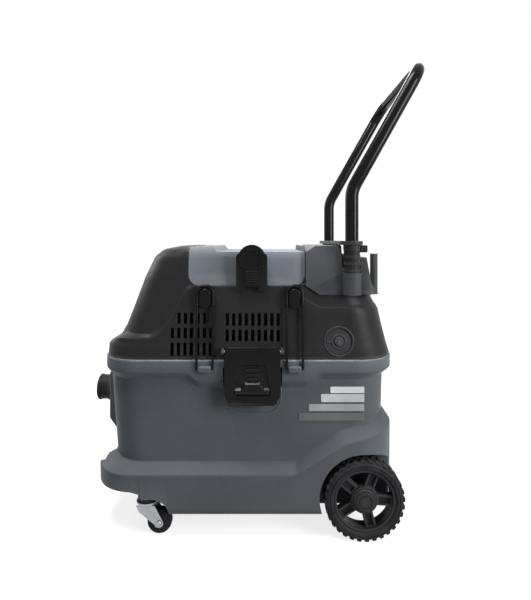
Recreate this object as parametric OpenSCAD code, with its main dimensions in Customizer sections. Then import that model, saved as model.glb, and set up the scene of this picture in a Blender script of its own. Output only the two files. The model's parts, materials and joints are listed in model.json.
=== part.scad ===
// Wet and dry canister vacuum cleaner on wheels, with a push handle.
// X runs from the hose inlet (-X) to the push handle (+X), Y across, Z up.
// The floor is z = 0 and y = 0 is the mid-plane. "Near" is -Y, "far" is +Y.

/* [Tank] */
// Distance from the origin to the front face of the skirt
skirt_front = 325; // [315:1:335]
// Length of the skirt, front to rear
skirt_len = 623; // [612:1:632]
// How far the skirt stands out from the tank on each side
skirt_out = 18; // [16:0.5:20]
// Corner radius of the skirt in plan
skirt_r = 85; // [70:1:95]
// Height of the skirt's underside above the floor
skirt_bottom = 50; // [46:1:54]
// Height of the ledge's lower edge along the side
ledge_z = 130; // [126:1:134]
// Height of the sloping ledge face
ledge_h = 19; // [14:1:24]
// Rise of the ledge over the rear wheel
ledge_rise = 62; // [56:1:66]
// Width of the tank above the ledge
tank_w = 354; // [350:1:360]
// How far the rim band stands out from the tank on each side
rim_out = 11; // [9:0.5:12]
// Height of the tank's top face above the floor
tank_top = 355; // [350:1:362]
// Height of the rim band at its deepest
rim_band_h = 40; // [34:1:46]
// Wall thickness of the tank
tank_wall = 4.5; // [4:0.5:6]

/* [Head] */
// Height of the head above the tank's top face
head_h = 232; // [226:1:238]
// How far the head's foot is set in from the rim band on each side
head_in = 5; // [4:0.5:6]
// How far the side panels stand proud of the head's core
panel_proud = 6; // [4:0.5:8]
// Wall thickness of the head shell
head_wall = 4; // [3.5:0.5:5]
// Thickness of the seal between tank and head
seal_t = 2.5; // [2:0.5:4]
// Thickness of the motor deck's flange
deck_t = 3; // [3:0.5:5]
// Pitch of the ventilation slots
slot_pitch = 13; // [12.5:0.5:14]
// Width of one ventilation slot
slot_w = 7.6; // [5:0.2:9]

/* [Lid] */
// Front edge of the lid
lid_front = -130.5; // [-134:0.5:-128]
// Length of the lid
lid_len = 243; // [238:1:246]
// Height of the lid's lower edge above the tank's top face
lid_low = 150.5; // [148:0.5:153]
// Radius of the lid's lower corners
lid_r = 23; // [15:1:28]
// Wall thickness of the lid
lid_wall = 3; // [2.5:0.5:4]
// Gap round the lid
lid_gap = 0.6; // [0.4:0.1:1]
// Diameter of the lid's hinge pin
lid_pin_d = 4; // [3:0.5:5]

/* [Wheels] */
// Diameter of the rear wheels
wheel_d = 160; // [154:1:164]
// Width of the rear tyres
wheel_w = 40; // [34:1:42]
// Distance of the wheel axle behind the origin
axle_x = 228; // [222:1:234]
// Distance of the rear wheels' middles in from the side of the skirt
wheel_in = 13; // [11:0.5:14]
// Diameter of the wheel axle
axle_d = 12; // [10:1:14]
// Diameter of the rear wheel's hub
hub_d = 54; // [48:1:60]
// Number of tread blocks round a tyre
tread_blocks = 32; // [24:1:36]

/* [Castors] */
// Diameter of the castor wheels
castor_d = 50; // [46:1:52]
// Width of the castor wheels
castor_w = 22; // [18:1:24]
// Distance of the swivel axes ahead of the origin
swivel_x = 213; // [208:1:218]
// Distance of the swivel axes in from the side of the skirt
castor_in = 30; // [28:1:34]
// Trail of the castor axle behind its swivel axis
castor_trail = 26; // [22:1:30]
// Diameter of the castor axle
castor_axle_d = 8; // [6:0.5:9]
// Diameter of the castor stem
stem_d = 11; // [9:0.5:12]

/* [Handle] */
// Outer diameter of the handle tube
tube_d = 27; // [25:0.5:28]
// Wall thickness of the handle tube
tube_wall = 1.5; // [1.2:0.1:2.5]
// Distance of the handle's legs in from the side of the head's core
handle_in = 7; // [5:0.5:9]
// Distance of the upright legs behind the origin
handle_x = 207; // [205:1:209]
// Height at which the legs bend back
bend_z = 702; // [695:1:715]
// Angle of the leaning part from upright
lean = 29.2; // [25:0.2:32]
// Length of the leaning part, bend to crossbar
lean_len = 303; // [280:1:320]
// Height of the sleeves' top
sleeve_top = 598; // [596:1:606]
// Outer diameter of the handle sleeves
sleeve_d = 35; // [34:0.5:38]

/* [Latches] */
// Width of the side latches
latch_w = 112; // [106:1:116]
// Height of the side latches
latch_h = 115; // [110:1:120]
// Thickness of the side latches
latch_t = 12; // [10:0.5:12.5]
// Place of the side latches along X
latch_x = 4; // [0:1:8]
// Diameter of the side latch pins
latch_pin_d = 5; // [4:0.5:6]
// Width of the lid latch
lid_latch_w = 64; // [58:1:66]
// Diameter of the bail wire
wire_d = 5; // [4:0.5:5.5]
// Distance between the legs of a bail
bail_w = 32.5; // [31:0.5:34]
// Place of the front bails along X
bail_front_x = -92.5; // [-96:0.5:-90]
// Place of the rear bails along X
bail_rear_x = 89; // [86:0.5:92]

/* [Hose inlet] */
// Bore of the hose inlet
inlet_bore = 50; // [45:1:52]
// Outer diameter of the inlet ring
inlet_d = 63; // [62:1:66]
// Height of the inlet's axis above the floor
inlet_z = 246; // [240:1:250]
// How far the ring stands out of its boss
inlet_out = 37; // [30:1:42]

/* [Motor] */
// Diameter of the motor case
motor_d = 132; // [124:1:136]
// Height of the motor case
motor_h = 80; // [72:1:86]
// Diameter of the motor shaft
shaft_d = 8; // [7:0.5:10]
// Diameter of the fan wheels
impeller_d = 112; // [104:1:118]
// Diameter of the float ball
float_d = 44; // [40:1:48]
// Travel of the float ball
float_travel = 16; // [12:1:20]

/* [Dial] */
// Diameter of the dial's bezel
dial_d = 62; // [58:1:64]
// Place of the dial along X
dial_x = 179; // [172:1:184]
// Height of the dial's centre above the tank's top face
dial_up = 39; // [38:0.5:44]

/* [Hidden] */

$fn = 48;

slate = [0.29, 0.31, 0.33];
lid_slate = [0.40, 0.42, 0.44];
black = [0.10, 0.10, 0.105];
grey_plastic = [0.22, 0.22, 0.23];
rubber = [0.14, 0.14, 0.15];
zinc = [0.75, 0.76, 0.78];
copper = [0.72, 0.42, 0.24];
paper = [0.88, 0.86, 0.80];

run_gap = 0.05;            // radial clearance of a turning or sliding fit
screw_gap = 1.2;           // from a loosened clamp screw to the tube
seat_gap = 0.3;            // clearance between pieces that only meet
big = 1000;                // longer than any piece that it cuts
corner_steps = 7;          // facets of one rounded corner in plan

// Plan and height of the tank
x_front = -skirt_front;
x_rear = x_front + skirt_len;
tank_hw = tank_w / 2;
skirt_hw = tank_hw + skirt_out;
rim_hw = tank_hw + rim_out;
front_inset = 34;
rear_inset = 16;
rim_front = x_front + 12;
rim_rear = x_rear + 2;
rim_chamfer = 15;
band_step = 17;
floor_z = skirt_bottom + 12;
arch_r = wheel_d / 2 + 10;
wheel_r = wheel_d / 2;
wheel_y = skirt_hw - wheel_in;
wheel_pocket = wheel_y - wheel_w / 2 - 10;
inner_hw = wheel_pocket - 5;   // half-width of the tank's foot, between the wheels
arch_top = wheel_r + arch_r;
bay_z = 81;                // roof of the castor bay
castor_r = castor_d / 2;
swivel_y = skirt_hw - castor_in;
stem_h = 18;

// Heights of the head
base_z = tank_top + seal_t;
head_z = base_z + deck_t;
head_top = tank_top + head_h;
head_hw = rim_hw - head_in;
core_hw = head_hw - panel_proud;
seam_z = tank_top + 133;   // lower edge of the handle mount
lid_z = tank_top + lid_low;
lid_rear = lid_front + lid_len;
deck_z = lid_z - lid_gap;
slot_end = 2.4;
panel_top = lid_z + 4;

// Places of the handle
handle_hw = core_hw - handle_in;
tube_r = tube_d / 2;
sleeve_r = sleeve_d / 2;
tube_foot = tank_top + 145;
socket_top = tank_top + 178;
socket_r = tube_r + 5.5;
bend_r = 60;
corner_r = 55;
bend_reach = bend_r * tan(lean / 2);
lean_start = [handle_x + bend_r * (1 - cos(lean)), bend_z - bend_reach + bend_r * sin(lean)];
lean_run = lean_len - bend_reach - corner_r;
bridge_t = 8;
knob_z = sleeve_top - 16;

// Side latches and bails
latch_pin_z = tank_top + 22;
latch_inner = rim_hw + 2.5;
latch_pin_y = latch_inner + latch_pin_d / 2 + 2;
latch_top = latch_pin_z + 9;
bail_z = tank_top - 14.5;
bail_y = rim_hw + wire_d / 2 + 2.1;
bail_rise = 149.5;         // height of the arch's centre above the pivot
bail_nose_y = head_hw - 5; // how far out the arch's centre lies
bail_lean = atan((bail_y - bail_nose_y) / bail_rise);
bail_len = bail_rise / cos(bail_lean);
sleeve_wire_r = wire_d / 2 + 1.5;
sleeve_len = 22;
nose_r = bail_w / 2 - sleeve_wire_r - 0.9;

// Lid hinge and lid latch
hinge_y = core_hw - 9;
hinge_z = panel_top + 6.5;
hinge_r = lid_pin_d / 2 + 3.5;
latch_boss_y = core_hw - 9;
lid_latch_z = lid_z + 53;
lid_latch_y = latch_boss_y + 5;
lid_latch_x = 2;
lid_latch_r = 28;
lid_latch_t = 9;
lid_latch_pin_d = 4;

// Motor stack
motor_x = x_front + 69 + motor_d / 2;
fan_z = head_z + 4;
fan_h = 48;
case_r = motor_d / 2 - 22;
rotor_r = case_r - 20;
motor_z = fan_z + fan_h;
shaft_r = shaft_d / 2;
bearing_r = 13;
bearing_h = 9;
float_x = -10;
float_r = float_d / 2;
cage_r = float_r + 6;
cage_h = float_d + float_travel + 12;
collar_h = 8;              // collar of the float's cage, under the motor deck
foam_t = 4;
foam_y = core_hw - 17;     // outer face of the foam behind the slots
foam_over = 10;            // how far the foam runs past the slots
filter_x = [-92, 74];
filter_hw = core_hw - 55;
filter_h = 112;
pleats = 14;

dial_z = tank_top + dial_up;
dial_tilt = 5;
dial_y = head_hw - 3.4;
dial_depth = 5;
ring_out = inlet_d / 2;
ring_in = inlet_bore / 2;
ring_spigot = ring_in + 3;
boss_out = 6;              // how far the inlet boss stands ahead of the skirt
boss_hw = 50;

// ---------- shapes shared by several pieces ----------

function arc_points(cx, cy, r, a0, a1) =
    [for (i = [0:corner_steps]) let (a = a0 + (a1 - a0) * i / corner_steps) [cx + r * cos(a), cy + r * sin(a)]];

// Rounded rectangle from x0 to x1 and -hw to hw, with extra points at stations xs along its sides
function outline(x0, x1, hw, r, xs) = concat(
    arc_points(x0 + r, r - hw, r, 180, 270),
    [for (x = xs) [x, -hw]],
    arc_points(x1 - r, r - hw, r, 270, 360),
    arc_points(x1 - r, hw - r, r, 0, 90),
    [for (i = [len(xs) - 1:-1:0]) [xs[i], hw]],
    arc_points(x0 + r, hw - r, r, 90, 180));

// The same outline lifted to heights that a table [[x, z], ...] gives along X
function ring(x0, x1, hw, r, xs, heights) =
    [for (p = outline(x0, x1, hw, r, xs)) [p.x, p.y, lookup(p.x, heights)]];

function level(z) = [[-big, z], [big, z]];

// Closed solid through a stack of rings, lowest first
module skin(rings) {
    n = len(rings[0]);
    top = (len(rings) - 1) * n;
    sides = [for (k = [0:len(rings) - 2], i = [0:n - 1]) let (a = k * n, j = (i + 1) % n)
        each [[a + i, a + n + i, a + n + j], [a + i, a + n + j, a + j]]];
    polyhedron(points = [for (r = rings) each r],
        faces = concat([[for (i = [0:n - 1]) i]], sides, [[for (i = [n - 1:-1:0]) top + i]]),
        convexity = 8);
}

// Prism of an X-Z outline, from y0 to y1
module side_prism(points, y0, y1) {
    translate([0, y1, 0])
        rotate([90, 0, 0])
            linear_extrude(y1 - y0) polygon(points);
}

// Cylinder along X, from x0 to x1
module rod_x(x0, x1, y, z, r) {
    translate([x0, y, z]) rotate([0, 90, 0]) cylinder(r = r, h = x1 - x0);
}

// Cylinder along Y, from y0 to y1
module rod_y(x, y0, y1, z, r) {
    translate([x, y1, z]) rotate([90, 0, 0]) cylinder(r = r, h = y1 - y0);
}

module block(low, high) {
    translate(low) cube(high - low);
}

module tube(r_out, r_in, h) {
    difference() {
        cylinder(r = r_out, h = h);
        translate([0, 0, -1]) cylinder(r = r_in, h = h + 2);
    }
}

module far_side() {
    mirror([0, 1, 0]) children();
}

module both_sides() {
    children();
    far_side() children();
}

// ---------- tank ----------

side_stations = [-190, -128, -107, 90, 117, 140, 186];
ledge_kink = [88, 191];
ledge_kink_high = [92, 181];

ledge_low = [[-big, ledge_z], [ledge_kink[0], ledge_z], [ledge_kink[1], ledge_z + ledge_rise],
    [x_rear, ledge_z + ledge_rise + 25]];
ledge_high = [[-big, ledge_z + ledge_h], [ledge_kink_high[0], ledge_z + ledge_h],
    [ledge_kink_high[1], ledge_z + ledge_rise + ledge_h], [x_rear - rear_inset, ledge_z + ledge_rise + 49]];

function band_low(drop) = [[-big, tank_top - rim_band_h + band_step - drop],
    [-128, tank_top - rim_band_h + band_step - drop], [-107, tank_top - rim_band_h - drop],
    [117, tank_top - rim_band_h - drop], [140, tank_top - rim_band_h + band_step - drop],
    [big, tank_top - rim_band_h + band_step - drop]];

function stations(a, b) = [-190, -128, -107, a, 117, 140, b];

tank_outer = [
    ring(x_front + 8, x_rear - 6, skirt_hw - 5, skirt_r - 5, stations(90, 186), level(skirt_bottom)),
    ring(x_front + 1, x_rear - 1, skirt_hw - 1, skirt_r, stations(90, 186), level(skirt_bottom + 8)),
    ring(x_front, x_rear, skirt_hw, skirt_r, stations(ledge_kink[0], ledge_kink[1]), ledge_low),
    ring(x_front + front_inset, x_rear - rear_inset, tank_hw - 1, skirt_r - 7,
        stations(ledge_kink_high[0], ledge_kink_high[1]), ledge_high),
    ring(rim_front + 10, rim_rear - 16, tank_hw, skirt_r - 7, side_stations, band_low(rim_chamfer)),
    ring(rim_front, rim_rear, rim_hw, skirt_r, side_stations, band_low(0)),
    ring(rim_front, rim_rear, rim_hw, skirt_r, side_stations, level(tank_top))];

function even_stations(x0, x1, r) = [for (i = [1:7]) x0 + r + (x1 - x0 - 2 * r) * i / 8];

// One ring of the tank's cavity, with its stations spread evenly
function cavity_ring(x0, x1, hw, r, z) = ring(x0, x1, hw, r, even_stations(x0, x1, r), level(z));

cavity_front = rim_front + 10 + tank_wall;
cavity_rear = rim_rear - 16 - tank_wall;

tank_inner = [
    cavity_ring(-150, 178, inner_hw - 7, 50, floor_z),
    cavity_ring(x_front + front_inset + 2 * tank_wall, x_rear - 30, inner_hw, 60, ledge_z),
    cavity_ring(x_front + front_inset + 1.2 * tank_wall, x_rear - 26, inner_hw, 60, arch_top + 6),
    cavity_ring(x_front + front_inset + 0.7 * tank_wall, x_rear - rear_inset - tank_wall, tank_hw - tank_wall - 1,
        skirt_r - 11, arch_top + 32),
    cavity_ring(cavity_front, cavity_rear, tank_hw - tank_wall, skirt_r - 11, tank_top - rim_band_h),
    cavity_ring(cavity_front, cavity_rear, tank_hw - tank_wall, skirt_r - 11, tank_top + 1)];

bay_arc = [for (a = [0:15:90]) [-200 + 36 * cos(a), skirt_bottom + (bay_z - skirt_bottom) * sin(a)]];
bay_outline = concat([[-big, 0], [-164, 0]], bay_arc, [[-310, bay_z - 6], [-326, bay_z], [-big, bay_z]]);
boss_outline = [[-288, 158], [x_front + 10, 166], [x_front - boss_out, 188], [x_front - boss_out, inlet_z + 48],
    [x_front + 1, inlet_z + 55], [-296, inlet_z + 55]];
lip_dip_r = 250;
lip_dip_z = 94;
tray = [x_front + 13, x_front + front_inset - 3];
tray_hw = skirt_hw - 83;
lug_hw = bail_w / 2 - wire_d / 2 - 0.5;

module bail_lug(x) {
    difference() {
        block([x - lug_hw, -bail_y - 4.4, bail_z - 6.5], [x + lug_hw, -rim_hw + 2, bail_z + 6.5]);
        rod_x(x - lug_hw - 1, x + lug_hw + 1, -bail_y, bail_z, wire_d / 2 + run_gap);
    }
}

module tank() {
    color(slate) {
        difference() {
            union() {
                skin(tank_outer);
                side_prism(boss_outline, -boss_hw, boss_hw);
            }
            skin(tank_inner);
            side_prism(bay_outline, -big, big);
            both_sides() rod_y(axle_x, -big, -wheel_pocket, wheel_r, arch_r);
            both_sides() block([-148, -skirt_hw + 6, -1], [128, -inner_hw - 6, ledge_z - 14]);
            block([tray[0], -tray_hw, bay_z + 5], [tray[1], tray_hw, ledge_z + ledge_h]);
            intersection() {
                rod_x(x_front - 1, tray[0] + 2, 0, lip_dip_z + lip_dip_r, lip_dip_r);
                block([x_front - 1, -skirt_hw, 0], [tray[0] + 2, skirt_hw, ledge_z + ledge_h]);
            }
            rod_x(x_front - 50, -250, 0, inlet_z, ring_spigot + run_gap);
            rod_y(axle_x, -big, big, wheel_r, axle_d / 2 + run_gap);
            both_sides() translate([-swivel_x, -swivel_y, 0]) cylinder(r = stem_d / 2 + run_gap, h = bay_z + stem_h + 1);
        }
        both_sides() {
            bail_lug(bail_front_x);
            bail_lug(bail_rear_x);
        }
    }
}

module tank_seal() {
    color([0.55, 0.56, 0.58])
        difference() {
            skin([ring(rim_front + 2, rim_rear - 2, rim_hw - 2, skirt_r - 2, [0], level(tank_top)),
                ring(rim_front + 2, rim_rear - 2, rim_hw - 2, skirt_r - 2, [0], level(tank_top + seal_t))]);
            skin([ring(rim_front + 12, rim_rear - 18, tank_hw - 1, skirt_r - 8, [0], level(tank_top - 1)),
                ring(rim_front + 12, rim_rear - 18, tank_hw - 1, skirt_r - 8, [0], level(tank_top + seal_t + 1))]);
        }
}

// ---------- hose inlet ----------

module inlet_ring() {
    color(black)
        difference() {
            union() {
                rod_x(x_front - boss_out - inlet_out, x_front - boss_out - inlet_out + 6, 0, inlet_z, ring_out - 1.5);
                rod_x(x_front - boss_out - inlet_out + 6, x_front - boss_out - 12, 0, inlet_z, ring_out - 3);
                rod_x(x_front - boss_out - 12, x_front - boss_out, 0, inlet_z, ring_out);
                rod_x(x_front - boss_out - 1, -280, 0, inlet_z, ring_spigot);
            }
            rod_x(-big, 0, 0, inlet_z, ring_in);
        }
}

module inlet_deflector() {
    shield = ring_spigot + 8;
    color(black)
        difference() {
            union() {
                rod_x(-279.7, -268, 0, inlet_z, shield);
                block([-268.5, -shield, inlet_z - shield], [-225, shield, inlet_z + shield]);
            }
            rod_x(-290, -262, 0, inlet_z, ring_in);
            block([-262.5, -shield + 3, inlet_z - shield - 1], [-228, shield - 3, inlet_z + shield - 3]);
        }
}

// ---------- rear wheels ----------

// Wheel pieces are drawn with the axle along local Z and the outer face up
module at_wheel() {
    translate([axle_x, -wheel_y, wheel_r]) rotate([90, 0, 0]) children();
}

rim_r = wheel_r - 18;
rim_open_r = wheel_r - 24;
tread_h = 2.5;
block_w = 9.5;
spoke_w = 21;
spoke_angle = -4;
hub_h = 14;

module rear_tyre() {
    color(rubber)
        at_wheel() {
            translate([0, 0, -wheel_w / 2]) tube(wheel_r - tread_h, rim_r, wheel_w);
            for (i = [0:tread_blocks - 1], side = [-1, 1])
                rotate([0, 0, (i + side / 4) * 360 / tread_blocks])
                    translate([wheel_r - tread_h - 1, -block_w / 2, side * wheel_w / 4 - wheel_w / 5])
                        cube([tread_h + 0.8, block_w, wheel_w / 2.5]);
        }
}

module spoke() {
    difference() {
        translate([hub_d / 2 - 3, -spoke_w / 2, -8]) cube([rim_open_r - hub_d / 2 + 5, spoke_w, 17]);
        translate([hub_d / 2 + 2, -spoke_w / 2 + 5, 4]) cube([rim_open_r - hub_d / 2 - 4, spoke_w - 10, 6]);
    }
}

module rear_rim() {
    color(black)
        at_wheel()
            difference() {
                union() {
                    translate([0, 0, -wheel_w / 2 + 5]) tube(rim_r, rim_open_r, wheel_w - 10);
                    translate([0, 0, -hub_h]) cylinder(r = hub_d / 2, h = 2 * hub_h);
                    for (i = [0:4]) rotate([0, 0, spoke_angle + 72 * i]) spoke();
                }
                translate([0, 0, -big / 2]) cylinder(r = axle_d / 2 + run_gap, h = big);
            }
}

module hub_cap() {
    cap_r = hub_d / 2 - 4;
    color(black)
        at_wheel()
            difference() {
                union() {
                    translate([0, 0, hub_h]) cylinder(r = cap_r, h = 5);
                    translate([0, 0, hub_h + 4]) cylinder(r = cap_r - 5, h = 3);
                }
                translate([0, 0, hub_h - 1]) cylinder(r = axle_d / 2 + 7, h = 5.5);
                translate([0, 0, hub_h + 6]) tube(cap_r - 8, cap_r - 10, 2);
            }
}

module rear_tyre_near() { rear_tyre(); }
module rear_tyre_far() { far_side() rear_tyre(); }
module rear_rim_near() { rear_rim(); }
module rear_rim_far() { far_side() rear_rim(); }
module hub_cap_near() { hub_cap(); }
module hub_cap_far() { far_side() hub_cap(); }

clip_t = 1.5;
axle_end = wheel_y + hub_h + 3;

module axle() {
    color(zinc) rod_y(axle_x, -axle_end, axle_end, wheel_r, axle_d / 2);
}

module axle_clips() {
    color(zinc)
        both_sides()
            difference() {
                rod_y(axle_x, -axle_end + 1, -axle_end + 1 + clip_t, wheel_r, axle_d / 2 + 4);
                rod_y(axle_x, -axle_end, -axle_end + 4, wheel_r, axle_d / 2);
            }
}

// ---------- castors ----------

fork_top = 67.5;
fork_t = 2.5;
fork_in = castor_w / 2 + 1.2;

module at_castor() {
    translate([-swivel_x, -swivel_y, 0]) children();
}

module castor_mount() {
    color(black)
        at_castor() {
            translate([0, 0, fork_top + seat_gap]) cylinder(r = 19, h = bay_z - fork_top - 4);
            translate([0, 0, bay_z - 5]) cylinder(r = stem_d / 2, h = stem_h + 4);
        }
}

fork_plate = [[-20, 60], [18, 60], [castor_trail + 9, castor_r + 4], [castor_trail + 5, castor_r - 7],
    [castor_trail - 4, castor_r - 8], [castor_trail - 9, castor_r + 1]];

module castor_fork() {
    color(zinc)
        at_castor()
            difference() {
                union() {
                    translate([0, 0, fork_top - 4]) cylinder(r = 22, h = 4);
                    translate([0, 0, fork_top - 7.5]) cylinder(r = 19, h = 4);
                    side_prism(fork_plate, -fork_in - fork_t, -fork_in);
                    side_prism(fork_plate, fork_in, fork_in + fork_t);
                }
                rod_y(castor_trail, -big, big, castor_r, castor_axle_d / 2 + run_gap);
            }
}

module castor_wheel() {
    color(rubber)
        at_castor()
            translate([castor_trail, castor_w / 2, castor_r])
                rotate([90, 0, 0])
                    difference() {
                        union() {
                            cylinder(r = castor_r - 8, h = castor_w);
                            translate([0, 0, 1.5]) cylinder(r = castor_r - 1.5, h = castor_w - 3);
                            translate([0, 0, 4]) cylinder(r = castor_r, h = castor_w - 8);
                        }
                        translate([0, 0, -1]) cylinder(r = castor_axle_d / 2 + run_gap, h = castor_w + 2);
                    }
}

module castor_axle() {
    color(zinc)
        at_castor() {
            rod_y(castor_trail, -fork_in - fork_t - 2, fork_in + fork_t + 2, castor_r, castor_axle_d / 2);
        }
}

module castor_mount_near() { castor_mount(); }
module castor_mount_far() { far_side() castor_mount(); }
module castor_fork_near() { castor_fork(); }
module castor_fork_far() { far_side() castor_fork(); }
module castor_wheel_near() { castor_wheel(); }
module castor_wheel_far() { far_side() castor_wheel(); }
module castor_axle_near() { castor_axle(); }
module castor_axle_far() { far_side() castor_axle(); }

// ---------- head ----------

head_stations = [0];
front_x = x_front + 21;    // front of the head's core at its foot
rear_x = x_rear - 6;

// One ring of the head, d further in on every side: f and b are its insets at the front and the back
function head_ring(d, f, b, narrow, z) =
    ring(front_x + f + d, rear_x - b - d, core_hw - narrow - d, skirt_r - 11, head_stations, level(z));

// Rings of the head's core, d inside its surface, from its foot up to z_top
function core_rings(d, z_foot, z_top) = [
    head_ring(d, 0, 0, 0, z_foot),
    head_ring(d, 19, 8, 4, tank_top + 40),
    head_ring(d, 32, 13, 6, tank_top + 63),
    head_ring(d, 45, 21, 9, tank_top + 97),
    head_ring(d, 69, 52, 17, tank_top + 165),
    head_ring(d, 89, 58, 23, tank_top + 209),
    head_ring(d, 114, 60, 30, z_top - 4.5),
    head_ring(d, 144, 67, 42, z_top)];

panel_skin = [
    head_ring(-panel_proud, 0, 0, 0, head_z),
    head_ring(-panel_proud, 1, 6, 1.5, tank_top + 26),
    head_ring(-panel_proud, 7, 8, 3, tank_top + 35),
    head_ring(-panel_proud, 10, 15, 5.5, tank_top + 63),
    head_ring(-panel_proud, 10, 22, 8.5, tank_top + 97),
    head_ring(-panel_proud, 10, 52, 16, panel_top)];

// The side panels' upper edge: shoulder, swoosh up to the lid, lid edge, seam of the handle mount
panel_edge = [[-320, tank_top + 34], [-303, tank_top + 35], [-284, tank_top + 48], [-270, tank_top + 52],
    [-205, tank_top + 54], [-192, tank_top + 60], [-180, tank_top + 73], [-145, tank_top + 137],
    [-136, tank_top + 149], [-124, panel_top], [lid_rear - 4, panel_top], [lid_rear + 0.5, lid_z],
    [141, seam_z], [big, seam_z]];
panel_outline = concat([[-320, head_z - 1]], panel_edge, [[big, head_z - 1]]);

function lid_profile(gap, top_front, top_rear) = concat(
    [[lid_front + gap, top_front]],
    [for (a = [180:15:270]) [lid_front + gap + lid_r * (1 + cos(a)), lid_z + gap - lid_gap + lid_r * (1 + sin(a))]],
    [for (a = [270:15:360]) [lid_rear - gap - lid_r * (1 - cos(a)), lid_z + gap - lid_gap + lid_r * (1 + sin(a))]],
    [[lid_rear - gap, top_rear], [-72, top_rear], [-81, top_front]]);

slot_rows = [
    // [first column's x, columns, low z, high z] above the tank's top face
    [-146.5, 5, 73, 97], [-159.5, 7, 44, 67], [-159.5, 7, 9.5, 37.5],
    [-48, 9, 69, 96], [-48, 9, 38, 63]];

foam_x = [slot_rows[1][0] - foam_over, slot_rows[3][0] + (slot_rows[3][1] - 1) * slot_pitch + foam_over];
foam_top = tank_top + slot_rows[0][3] + 4;

module slot(x, low, high) {
    translate([x, 0])
        polygon([[-slot_w / 2, low + slot_end], [-slot_w / 2 + slot_end, low], [slot_w / 2 - slot_end, low],
            [slot_w / 2, low + slot_end], [slot_w / 2, high - slot_end], [slot_w / 2 - slot_end, high],
            [-slot_w / 2 + slot_end, high], [-slot_w / 2, high - slot_end]]);
}

module vent_slots() {
    rotate([90, 0, 0])
        linear_extrude(big, center = true)
            for (row = slot_rows, i = [0:row[1] - 1])
                slot(row[0] + i * slot_pitch, tank_top + row[2], tank_top + row[3]);
}

module latch_lug(x0, x1) {
    difference() {
        union() {
            block([x0, -latch_pin_y, latch_pin_z - 5], [x1, -head_hw + 8, latch_pin_z + 5]);
            rod_x(x0, x1, -latch_pin_y, latch_pin_z, 5);
        }
        rod_x(x0 - 1, x1 + 1, -latch_pin_y, latch_pin_z, latch_pin_d / 2);
    }
}

module latch_lugs() {
    latch_lug(latch_x - latch_w / 2 - 6, latch_x - latch_w / 2 - 1);
    latch_lug(latch_x + latch_w / 2 + 1, latch_x + latch_w / 2 + 6);
}

module bail_nose(x) {
    translate([x, -head_hw + 20, bail_z + bail_rise])
        rotate([90, 0, 0])
            linear_extrude(20 + 2) {
                circle(r = nose_r);
                translate([-nose_r, -nose_r - 4]) square([2 * nose_r, nose_r + 4]);
            }
}

ear_w = 10;
ear_x = [-66, 38];

module hinge_ear(x) {
    difference() {
        union() {
            block([x, hinge_y - 22, deck_z - 10], [x + ear_w, hinge_y, panel_top + 1]);
            block([x, hinge_y - hinge_r, panel_top - 1], [x + ear_w, hinge_y + hinge_r, hinge_z]);
            rod_x(x, x + ear_w, hinge_y, hinge_z, hinge_r);
        }
        block([x - 1, hinge_y - 40, deck_z - 1], [x + ear_w + 1, hinge_y - hinge_r + 0.5, hinge_z + 20]);
        rod_x(x - 1, x + ear_w + 1, hinge_y, hinge_z, lid_pin_d / 2);
    }
}

module head_shell() {
    color(black)
        difference() {
            union() {
                skin(core_rings(0, head_z, head_top));
                intersection() {
                    skin(panel_skin);
                    side_prism(panel_outline, -big, big);
                }
                both_sides() latch_lugs();
                for (x = ear_x) hinge_ear(x);
            }
            difference() {
                skin(core_rings(head_wall, head_z - 1, head_top - head_wall));
                block([lid_front - 5, -big, deck_z - 6], [lid_rear + 5, big, big]);
            }
            intersection() {
                side_prism(lid_profile(0, big, big), -big, big);
                skin([for (z = [deck_z - 1, head_top + 10]) head_ring(-40, -50, -50, 36, z)]);
            }
            side_prism([[lid_rear + 0.5, lid_z], [141, seam_z], [big, seam_z], [big, big], [lid_rear + 0.5, big]], -big, big);
            block([filter_x[0] - 1, -filter_hw - 1, deck_z - 20], [filter_x[1] + 1, filter_hw + 1, deck_z + 20]);
            vent_slots();
            dial_place() translate([0, 0, -dial_depth - seat_gap]) cylinder(r = dial_d / 2 + seat_gap, h = 40);
            panel_place() block([-1.5, -21, -13], [20, 21, 13]);
            rod_x(rear_x - 40, big, 0, gland_z, gland_r + run_gap);
        }
}

// Rests behind the bails' loops, cut to the head's skin where they sit on it
module bail_rests() {
    color(black)
        difference() {
            both_sides() {
                bail_nose(bail_front_x);
                bail_nose(bail_rear_x);
            }
            skin(core_rings(0, head_z, head_top));
            intersection() {
                skin(panel_skin);
                side_prism(panel_outline, -big, big);
            }
        }
}

// Foam sheets that stand on the motor deck behind the slots
module vent_foam() {
    color(rubber)
        both_sides()
            block([foam_x[0], -foam_y, head_z], [foam_x[1], -foam_y + foam_t, foam_top]);
}

module head_base() {
    color(black)
        difference() {
            union() {
                skin([for (z = [base_z, head_z]) head_ring(-panel_proud + 1, 0, 0, 0, z)]);
                translate([motor_x, 0, head_z - 1]) cylinder(r = motor_d / 2 - 8, h = fan_z - head_z + 1);
            }
            translate([float_x, 0, base_z - 20]) cylinder(r = float_r - 4, h = 60);
            translate([motor_x, 0, base_z - 20]) cylinder(r = 30, h = 60);
        }
}

// ---------- handle mount ----------

mount_wall = 5;
mount_front = lid_rear + 1;
notch = [handle_x - sleeve_r - 1.5, handle_x + sleeve_r + 1.5];
mount_outline = [[mount_front, lid_z + 0.4], [141.2, seam_z], [rear_x - 27, seam_z], [rear_x - 44, tank_top + 155],
    [rear_x - 53, tank_top + 209], [notch[1], tank_top + 209], [notch[1], socket_top], [notch[0], socket_top],
    [notch[0], head_top + 1], [134, head_top + 1], [mount_front, tank_top + 220]];

function mount_ring(d, narrow, z) =
    ring(mount_front - 100 + d, rear_x - 18 - d, core_hw - narrow - d, 40, head_stations, level(z));

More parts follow.
